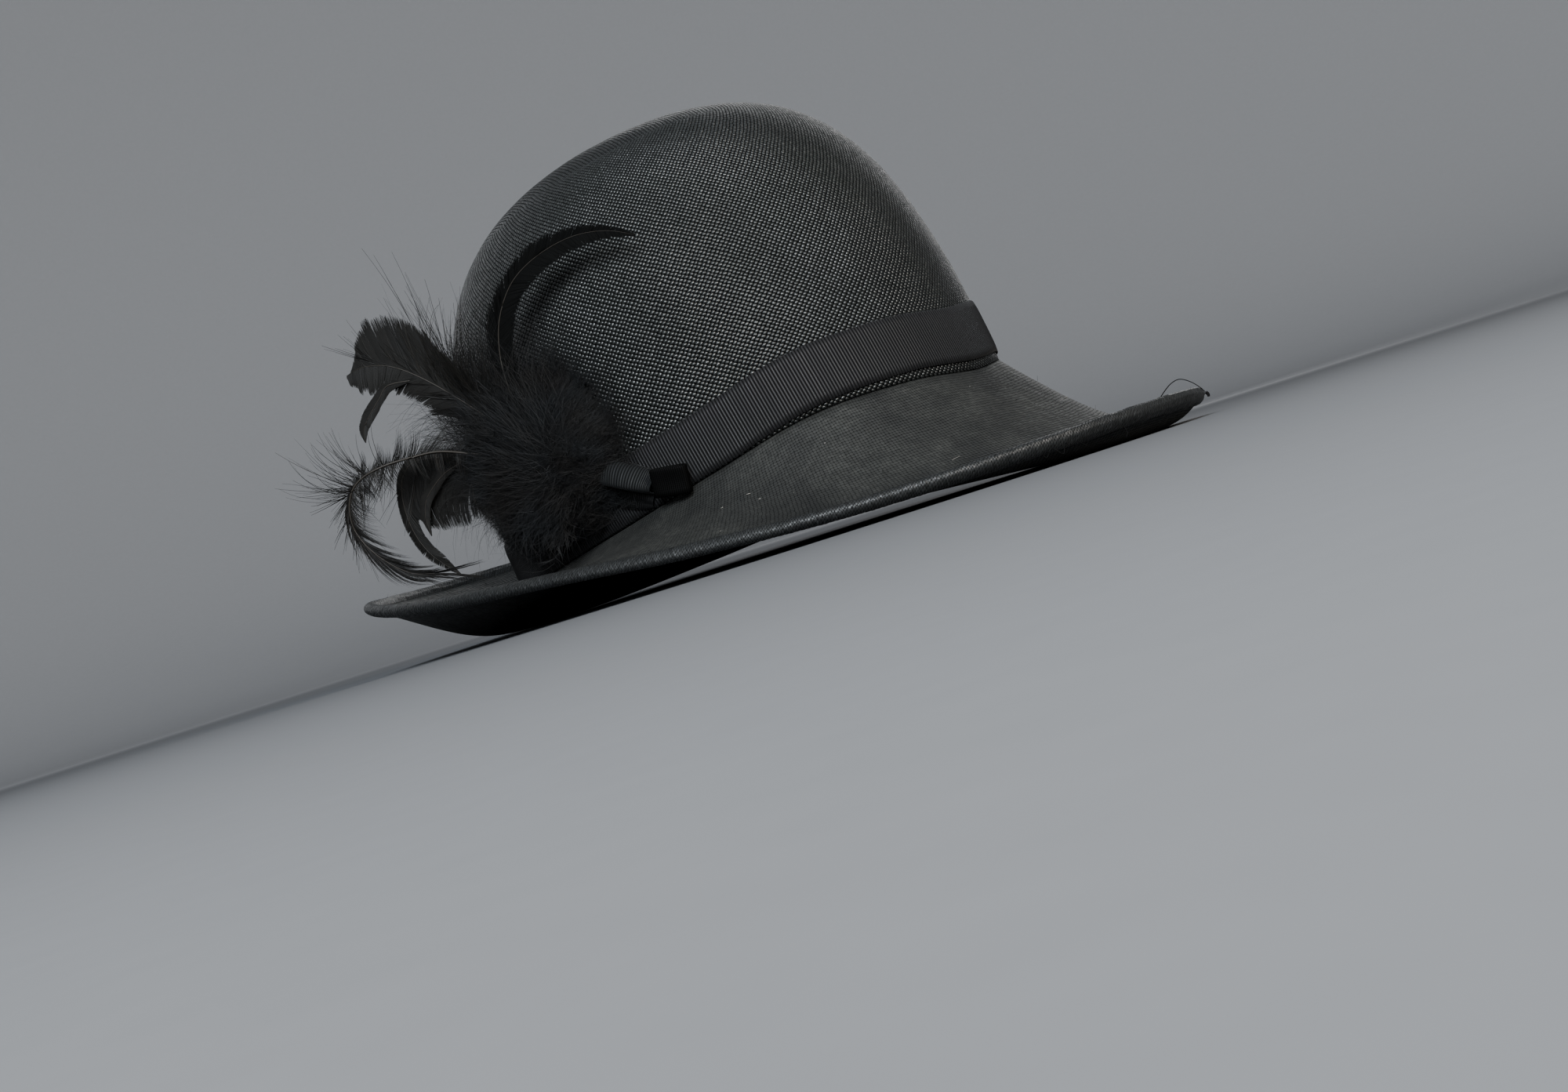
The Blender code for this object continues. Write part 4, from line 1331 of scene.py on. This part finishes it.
def makeFeather(name, feather):
    rng = random.Random(name)
    place = featherPlace(feather["turned"])
    strands = newStrands()
    for side in (1, -1):
        combVane(strands, place, feather, side, rng)
    addStrays(strands, place, feather["quill"], strayHairs.get(name, ()), rng)
    steps = 10 * len(feather["quill"])
    ahead = Vector((0, 0.6 * feather["thick"], 0))
    quill = [place @ (onLine(feather["quill"], k / steps) + ahead) for k in range(steps + 1)]
    addTube(strands, quill, feather["thick"], 0.8, 1, 0.85)
    materials = [hairMaterials[feather.get("vane", "featherVane")], hairMaterials["featherQuill"]]
    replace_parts(makeStrandPiece(name, strands, materials), feather["node"])


def makeTufts():
    rng = random.Random(5)
    place = featherPlace(tufts["turned"])
    strands = newStrands()
    middle = Vector((tufts["foot"][0], 0, tufts["foot"][1]))
    backSpread, upSpread = tufts["footSpread"]
    for k in range(tufts["count"] + tufts["plumelets"]):
        share = rng.random()
        clump = noise.noise(Vector((share * tufts["clumps"], 2.5, 0)))
        direction, reach = alongRows(tufts["fan"], share)
        direction = math.radians(direction + rng.gauss(0, tufts["directionSpread"]))
        reach *= 1 + tufts["clumpReach"] * clump + rng.gauss(0, tufts["reachSpread"])
        start = rng.uniform(*tufts["from"])
        stop = min(1.0, start + rng.uniform(*tufts["cover"]))
        foot = middle + Vector((rng.gauss(0, backSpread), 0, rng.gauss(0, upSpread)))
        layer = rng.uniform(-1, 1)
        curl, wave, turn = rng.gauss(0, tufts["curl"]), rng.uniform(*tufts["wave"]), rng.uniform(0, 6.3)
        path = []
        for s in bladeShares:
            along = start + (stop - start) * s
            angle = direction + curl * (along - 0.4) * s
            deep = (tufts["depth"] * layer - tufts["behind"]) * math.sin(math.pi * min(along, 0.97)) ** 0.7
            off = Vector((math.cos(angle), 0, math.sin(angle))) * reach * along
            across = wave * math.sin(4.5 * s + turn) * s
            off += Vector((-math.sin(angle) * across, deep + across * 0.5, math.cos(angle) * across))
            path.append(place @ ((foot + off) * 0.001))
        facing = place.to_3x3() @ Vector((rng.uniform(-1, 1), 1, rng.uniform(-1, 1)))
        tone = clamp01(0.45 + 0.5 * clump + rng.uniform(-0.3, 0.3))
        if k < tufts["plumelets"]:
            addPlumelet(strands, path, facing.normalized(), tufts, tone, rng)
        else:
            addFineHair(strands, path, facing, tufts["radius"] * rng.uniform(0.7, 1.5), tone, 0.75)
    makeStrandPiece("plumeDown", strands, [hairMaterials["softDown"]])


# Fluff: down and soft barbs that hug the band, in an outline that runs round the crown's side.
fluff = {
    "middle": (-103.0, 0.030),
    "root": (-92.0, 0.017),  # where its hairs are tied in, behind the bow
    "rootSpread": (7, 0.009),
    "edge": 0.0020,
    "depth": 0.0125,
    "coreShare": 0.84,
    "hairs": 10500,
    "plumelets": 120,
    "rimTufts": 46,          # plumelets that reach past the outline, up the crown
    "rimSpan": (0.0, 4.4),   # where along the outline they stand, in its rows
    "hairRadius": 0.00006,
    "halfSize": (21, 0.029),
    "sweep": (0.05, 0.16),   # how hairs curve sideways, and how much that varies
    "sweepTurns": (700, 0.0013),    # what a sweep of 1 adds: degrees per metre up, and metres per degree
    "lift": (-0.0002, 0.0030),
    "startsWithin": 0.74,    # of the way from the root to the outline
    "cover": (0.25, 0.55),   # how much of that way a hair covers
    "clumpReach": 0.25,
    "reachSpread": 0.06,
    "rimFrom": (0.45, 0.75), # where the plumelets past the outline start and stop on that way
    "rimTo": (0.98, 1.22),
    "layers": (0.3, 1.0),    # of the fluff's depth, for hairs
    "plumeletLayer": 0.95,
    "barbs": 28,             # on each side of a plumelet, and how long they are
    "barbLength": (0.003, 0.006),
    "coreLump": 0.25,
    "coreDepth": 0.62,       # of the fluff's own
    "coreSpokes": 72,
    "coreRings": 14,
}
fluffOutline = (
    # from the front, height
    (-84.0, 0.0256),
    (-82.0, 0.0390),
    (-86.0, 0.0550),
    (-95.0, 0.0615),
    (-108.0, 0.0555),
    (-119.0, 0.0430),
    (-123.0, 0.0230),
    (-118.0, 0.0060),
    (-104.0, 0.0030),
    (-94.5, 0.0040),
    (-92.8, 0.0120),
    (-90.4, 0.0220),
)


def fluffRim(place):
    # A point of the outline, counted in rows round it.
    rows = len(fluffOutline)
    looped = [fluffOutline[(k - 1) % rows] for k in range(rows + 3)]
    return [betweenRows(looped, column, 1 + place % rows) for column in (0, 1)]


def fluffDepth(share):
    return fluff["edge"] + fluff["depth"] * max(0.0, 1 - share * share) ** 0.6


def makeFluffCore():
    base = 2.5 * hat["gap"] + band["thickness"]
    middle = fluff["middle"]
    spokes, rings = fluff["coreSpokes"], fluff["coreRings"]
    points = []
    for ring in range(1, rings + 1):
        share = ring / rings
        for spoke in range(spokes):
            rim = fluffRim(spoke / spokes * len(fluffOutline))
            inward = share * fluff["coreShare"]
            fromFront, height = (middle[k] + (rim[k] - middle[k]) * inward for k in (0, 1))
            lump = 1 + fluff["coreLump"] * noise.noise(Vector((fromFront * 0.12, height * 160, 0)))
            deep = (fluffDepth(share) - fluff["edge"]) * fluff["coreDepth"] * lump + hat["gap"]
            points.append(besideCrown(fromFront, height, base + deep))
    points.append(besideCrown(*middle, base + fluffDepth(0) * 0.6))
    faces, _ = gridFaces(rings - 1, spokes)
    faces = [face[::-1] for face in faces]
    faces += [((k + 1) % spokes, k, len(points) - 1) for k in range(spokes)]
    makePiece("fluffCore", points, faces, [hairMaterials["softDown"]],
              pointLayers={"barb": [0.0, 0.0, 0.5] * len(points)})


def makeFluff():
    rng = random.Random(11)
    base = 2.5 * hat["gap"] + band["thickness"]
    sideways, upwards = fluff["sweepTurns"]
    strands = newStrands()
    plumelets = fluff["plumelets"] + fluff["rimTufts"]
    for k in range(fluff["hairs"] + plumelets):
        around = rng.random() * len(fluffOutline)
        isPlumelet, onRim = k < plumelets, k < fluff["rimTufts"]
        if onRim:
            around = rng.uniform(*fluff["rimSpan"])
        rim = fluffRim(around)
        clump = noise.noise(Vector((rim[0] * 0.22, rim[1] * 190, 4)))
        tied = [at + rng.gauss(0, spread) for at, spread in zip(fluff["root"], fluff["rootSpread"])]
        start = rng.random() ** 0.7 * fluff["startsWithin"]
        stop = min(start + rng.uniform(*fluff["cover"]),
                   1.0 + fluff["clumpReach"] * clump + rng.gauss(0, fluff["reachSpread"]))
        if onRim:
            start, stop = rng.uniform(*fluff["rimFrom"]), rng.uniform(*fluff["rimTo"])
        layer = fluff["plumeletLayer"] if isPlumelet else rng.uniform(*fluff["layers"]) ** 0.6
        sweep, lift = rng.gauss(*fluff["sweep"]) + 0.3 * clump, rng.uniform(*fluff["lift"])
        tone = clamp01(0.4 + 0.9 * clump + rng.uniform(-0.3, 0.3))
        path = []
        for s in (0, 0.2, 0.4, 0.6, 0.8, 1):
            share = start + (stop - start) * s
            bend = sweep * s * s
            fromFront = tied[0] + (rim[0] - tied[0]) * share + bend * (rim[1] - tied[1]) * sideways
            height = tied[1] + (rim[1] - tied[1]) * share - bend * (rim[0] - tied[0]) * upwards
            far = math.hypot(*((now - centre) / half for now, centre, half in
                               zip((fromFront, height), fluff["middle"], fluff["halfSize"])))
            off = base + fluffDepth(min(1.0, far)) * layer + lift * s * s
            path.append(besideCrown(fromFront, max(height, 0.002), off))
        _, out = oval(rim[0])
        facing = out + Vector((rng.uniform(-0.6, 0.6), 0, rng.uniform(-0.6, 0.6)))
        if isPlumelet:
            addPlumelet(strands, path, facing.normalized(), fluff, tone, rng)
        else:
            addFineHair(strands, path, facing, fluff["hairRadius"] * rng.uniform(0.7, 1.6), tone, 0.8)
    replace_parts(makeStrandPiece("downFluff", strands, [hairMaterials["softDown"]]), "plume_fluff")


# Hairs of every kind: each has its own shade between a dark and a light one, under cloudy patches, unless
# the two are the same.
anyHair = {
    "dark": (0.0006, 0.0006, 0.0006, 1),
    "tipLift": 0.25,         # how much lighter a hair's tip is
    "patchShare": 0.4,
    "patchSize": 0.009,
    "patchEdge": 0.12,
    "grainScale": 2600.0,
    "grainDepth": 0.00004,
}
hairLooks = {
    "featherVane": {"light": (0.0046, 0.0043, 0.0037, 1), "roughness": (0.36, 0.54), "specular": 0.08},
    "sickleVane": {"light": (0.0012, 0.0013, 0.0012, 1), "roughness": (0.5, 0.65), "specular": 0.03},
    "featherQuill": {"light": (0.016, 0.0135, 0.0105, 1), "roughness": (0.4, 0.55), "specular": 0.2},
    "softDown": {"dark": (0.0009, 0.0010, 0.0012, 1), "light": (0.0068, 0.0076, 0.0086, 1),
                 "patch": (0.0026, 0.0021, 0.0017, 1), "patchShare": 0.75, "patchSize": 0.016,
                 "roughness": (0.5, 0.75), "specular": 0.12},
    "looseThread": {"light": (0.0012, 0.0012, 0.0013, 1), "roughness": (0.6, 0.8), "specular": 0.08},
    "lint": {"dark": (0.14, 0.135, 0.125, 1), "light": (0.14, 0.135, 0.125, 1), "roughness": (0.8, 0.9),
             "specular": 0.2},
}


def makeStrandTone():
    # One hair's own shade, from its number, and how it changes from root to tip.
    group, given, result = newGroup(
        "strandTone",
        (("Barb", "Vector", (0, 0, 0)), ("Dark", "Color", (0, 0, 0, 1)), ("Light", "Color", (1, 1, 1, 1)),
         ("TipLift", "Float", 0.3)),
        (("Color", "Color"), ("Gloss", "Float")))
    own, along, _ = splitVector(group, given["Barb"])
    ownPart = calc(group, "MULTIPLY", own, 0.7)
    share = calc(group, "MULTIPLY_ADD", along, given["TipLift"], ownPart, clamp=True)
    feed(group, result["Color"], blendColours(group, share, given["Dark"], given["Light"]))
    feed(group, result["Gloss"], calc(group, "MULTIPLY_ADD", own, -0.5, 1.0))
    return group


strandTone = makeStrandTone()


def hairMaterial(name, look):
    made, tree, shader = newMaterial(name)
    look = {"patch": look["light"], **anyHair, **look}
    tone = placeGroup(tree, strandTone, Barb=readLayer(tree, "barb"), Dark=look["dark"], Light=look["light"],
                      TipLift=look["tipLift"])
    position = objectPosition(tree)
    colour = look["light"]
    if look["dark"] != colour:
        worn = placeGroup(tree, wornPatches, Position=position, Size=look["patchSize"],
                          Edge=look["patchEdge"])
        patch = calc(tree, "MULTIPLY", worn["Patch"], look["patchShare"])
        colour = blendColours(tree, patch, tone["Color"], look["patch"])
    feed(tree, shader["Base Color"], colour)
    low, high = look["roughness"]
    feed(tree, shader["Roughness"], calc(tree, "MULTIPLY_ADD", tone["Gloss"], high - low, low))
    grain = cloudy(tree, position, look["grainScale"])[0]
    feed(tree, shader["Normal"], bumpFrom(tree, grain, look["grainDepth"]))
    shader["Specular IOR Level"].default_value = look["specular"]
    return made


hairMaterials = {name: hairMaterial(name, look) for name, look in hairLooks.items()}
for name, feather in feathers.items():
    makeFeather(name, feather)
makeTufts()
makeFluffCore()
makeFluff()
print("feathers set")

# Loose bits: a curled thread at the front tip, frayed ends under the edge, short fibres and lint. Points
# are millimetres in the hat's own frame.
looseThreads = {
    "tipThread": (0.00016, ((-0.6, -150.5, -38.4), (0.5, -153.3, -36.6), (1.9, -155.6, -35.4),
                            (3.5, -157.8, -35.3), (5.0, -159.7, -37.0), (6.4, -161.2, -39.6),
                            (7.5, -162.4, -43.0))),
    "knot": (0.00055, ((7.4, -162.2, -42.4), (7.6, -162.5, -43.2), (7.5, -162.4, -44.0))),
    "hangingEnd": (0.00017, ((-29, -148.5, -40), (-28.4, -149.4, -43), (-28.2, -149.4, -44.8),
                             (-28.6, -148.7, -46))),
    "frayOne": (0.00014, ((-58.5, -132, -38.5), (-57, -135, -40.5), (-56, -136, -42.5),
                          (-55, -136.5, -41), (-56, -134, -39))),
    "frayTwo": (0.00014, ((-54, -136, -38.5), (-54.5, -139, -41.5), (-53, -140, -43.5),
                          (-52, -140.5, -41.5), (-52, -138.5, -39.5))),
    "frayThree": (0.00012, ((-50, -138.5, -39), (-51, -142, -41.5), (-49.5, -143, -42.5),
                            (-48, -143, -44))),
    "frayFour": (0.00012, ((-46, -140.5, -39.5), (-46.5, -143, -42), (-45, -144, -44))),
}

looseBits = {
    "fibres": 520,
    "fibreLength": (0.0008, 0.0028),
    "fibreRadius": 0.00004,
    "lint": 20,
    "lintLength": (0.0003, 0.0012),
    "lintRadius": (0.00006, 0.00013),
    "longLint": 0.0035,      # every sixth bit is a long thin one
}


def makeThreads():
    strands = newStrands()
    for radius, points in looseThreads.values():
        path = [Vector(alongRows(points, k / 24)) * 0.001 for k in range(25)]
        addTube(strands, path, radius, 0.5, 0, 0.25)
    makeStrandPiece("looseThreads", strands, [hairMaterials["looseThread"]])


def aboveBrim(fromFront, share, off):
    sheet, along = brimSheet(fromFront, share)
    return onBrim(fromFront, sheet + Vector((-along.y, along.x)) * off)


def makeFibres():
    # Short fibres stand off the brim and its edge; lint lies on the brim.
    rng = random.Random(21)
    strands = newStrands()
    for _ in range(looseBits["fibres"]):
        fromFront = rng.uniform(0, 360)
        start = aboveBrim(fromFront, rng.choice((0.98, 1.0, 1.0, rng.uniform(0.05, 1.0))), 0.0003)
        _, out = oval(fromFront)
        way = out * rng.uniform(-0.3, 1)
        way += Vector((rng.uniform(-1, 1), rng.uniform(-1, 1), rng.uniform(0.2, 1.2)))
        way.normalize()
        length = rng.uniform(*looseBits["fibreLength"])
        bend = Vector((rng.uniform(-1, 1), rng.uniform(-1, 1), rng.uniform(-1, 0.6))) * 0.7
        path = [start + (way * s + bend * s * s) * length for s in (0, 0.25, 0.5, 0.75, 1)]
        addTube(strands, path, looseBits["fibreRadius"], 0.5, 0, 0.5)
    for k in range(looseBits["lint"]):
        fromFront = rng.uniform(-70, 10) if k % 2 else rng.uniform(0, 360)
        start = aboveBrim(fromFront, rng.uniform(0.05, 0.95), 0.00015)
        way = Vector((rng.uniform(-1, 1), rng.uniform(-1, 1), 0.1)).normalized()
        curl = Vector((way.y, -way.x, 0)) * rng.uniform(-0.8, 0.8)
        length = rng.uniform(*looseBits["lintLength"]) if k % 6 else looseBits["longLint"]
        path = [start + (way * s + curl * s * s) * length for s in (0, 0.2, 0.4, 0.6, 0.8, 1)]
        radius = rng.uniform(*looseBits["lintRadius"]) if k % 6 else looseBits["lintRadius"][0]
        addTube(strands, path, radius, 0.5, 1, 0.2)
    materials = [hairMaterials["looseThread"], hairMaterials["lint"]]
    makeStrandPiece("fibresAndLint", strands, materials)


makeThreads()
makeFibres()
print("loose bits scattered")

# Studio: a pale sweep all round, soft lamps and the camera just above the floor.
studio = {
    # The floor is darker near the hat and turns as pale as the wall further out: painted shade and painted
    # light that even out how the lamps' light falls.
    "floorColour": (0.080, 0.082, 0.086, 1),
    "wallColour": (0.24, 0.243, 0.25, 1),
    "floorReach": 1.25,      # where the floor starts to curve up
    "sweepRadius": 0.9,
    "wallHeight": 2.6,
    "paintedPaler": (0.5, 1.8),     # distances between which the floor turns as pale as the wall
    "grain": (0.97, 0.06),
    "around": 96,
    "bendSteps": 16,
    "air": (0.80, 0.88, 1.0, 1),
    "airStrength": 0.44,
    "aimLampsAt": (0, 0, 0.06),
}

camera = {
    "azimuth": -54.5,
    "distance": 0.769,
    "height": 0.006,
    "aimAt": (0.0018, -0.0033, 0.0010),
    "roll": -17.7,
    "lens": 50.5,
}

# Lamps: azimuth and height angle from the hat, distance, size, power in watts, colour.
lamps = {
    "windowLamp": (-62, 29, 1.7, 0.9, 72, (0.88, 0.94, 1.0)),
    "frontLamp": (-14, 24, 1.75, 0.75, 40, (1.0, 0.93, 0.84)),
    "topLamp": (-30, 78, 1.7, 1.2, 1, (0.95, 0.97, 1.0)),
    "backLamp": (112, 20, 1.2, 0.8, 3.2, (0.97, 0.97, 0.97)),
    "rearLamp": (162, 20, 1.2, 0.8, 1.2, (0.95, 0.97, 1.0)),
    "lowLamp": (-104, 5, 1.5, 0.3, 4, (0.95, 0.97, 1.0)),
}


def makeSweep():
    made, tree, shader = newMaterial("palePaper")
    position = objectPosition(tree)
    # Painted light: the floor pales with distance from the hat, where less lamp light reaches.
    far = spreadValue(tree, vectorCalc(tree, "LENGTH", position), *studio["paintedPaler"])
    paper = blendColours(tree, far, studio["floorColour"], studio["wallColour"])
    low, rise = studio["grain"]
    speck = calc(tree, "MULTIPLY_ADD", cloudy(tree, position, 240.0, 3.0)[0], rise, low)
    feed(tree, shader["Base Color"], vectorCalc(tree, "SCALE", paper, scale=speck))
    shader["Roughness"].default_value = 0.9
    shader["Specular IOR Level"].default_value = 0.0
    reach, bend, wall = studio["floorReach"], studio["sweepRadius"], studio["wallHeight"]
    profile = [(0.02, 0.0), (0.3, 0.0), (0.8, 0.0), (reach, 0.0)]
    for k in range(1, studio["bendSteps"] + 1):
        turn = math.radians(90) * k / studio["bendSteps"]
        profile.append((reach + bend * math.sin(turn), bend * (1 - math.cos(turn))))
    profile.append((reach + bend, wall))
    around = studio["around"]
    turns = [2 * math.pi * k / around for k in range(around)]
    points = [(out * math.cos(turn), out * math.sin(turn), up) for out, up in profile for turn in turns]
    faces, _ = gridFaces(len(profile) - 1, around)
    faces.append(tuple(range(around)))
    mesh = bpy.data.meshes.new("sweep")
    mesh.from_pydata(points, [], faces)
    mesh.materials.append(made)
    mesh.shade_smooth()
    floor = bpy.data.objects.new("sweep", mesh)
    bpy.context.collection.objects.link(floor)


def makeLamps():
    for name, (azimuth, height, distance, size, power, colour) in lamps.items():
        light = bpy.data.lights.new(name, "AREA")
        light.shape = "DISK"
        light.size = size
        light.energy = power
        light.color = colour
        lamp = bpy.data.objects.new(name, light)
        bpy.context.collection.objects.link(lamp)
        a, e = math.radians(azimuth), math.radians(height)
        away = Vector((math.sin(a) * math.cos(e), -math.cos(a) * math.cos(e), math.sin(e)))
        lamp.location = Vector(studio["aimLampsAt"]) + away * distance
        lamp.rotation_euler = away.to_track_quat("Z", "Y").to_euler()
    world = bpy.data.worlds.new("air")
    world.use_nodes = True
    bpy.context.scene.world = world
    background = world.node_tree.nodes["Background"]
    background.inputs["Color"].default_value = studio["air"]
    background.inputs["Strength"].default_value = studio["airStrength"]


def makeCamera():
    aim = Vector(camera["aimAt"])
    a = math.radians(camera["azimuth"])
    spot = aim + Vector((math.sin(a), -math.cos(a), 0)) * camera["distance"]
    spot.z = camera["height"]
    view = bpy.data.cameras.new("viewCamera")
    view.lens = camera["lens"]
    view.sensor_width = 36
    view.clip_start = 0.01
    seen = bpy.data.objects.new("viewCamera", view)
    bpy.context.collection.objects.link(seen)
    seen.location = spot
    level = (aim - spot).to_track_quat("-Z", "Y").to_matrix()
    seen.rotation_euler = (level @ Matrix.Rotation(math.radians(camera["roll"]), 3, "Z")).to_euler()
    bpy.context.scene.camera = seen


makeSweep()
makeLamps()
makeCamera()
print("studio lit")
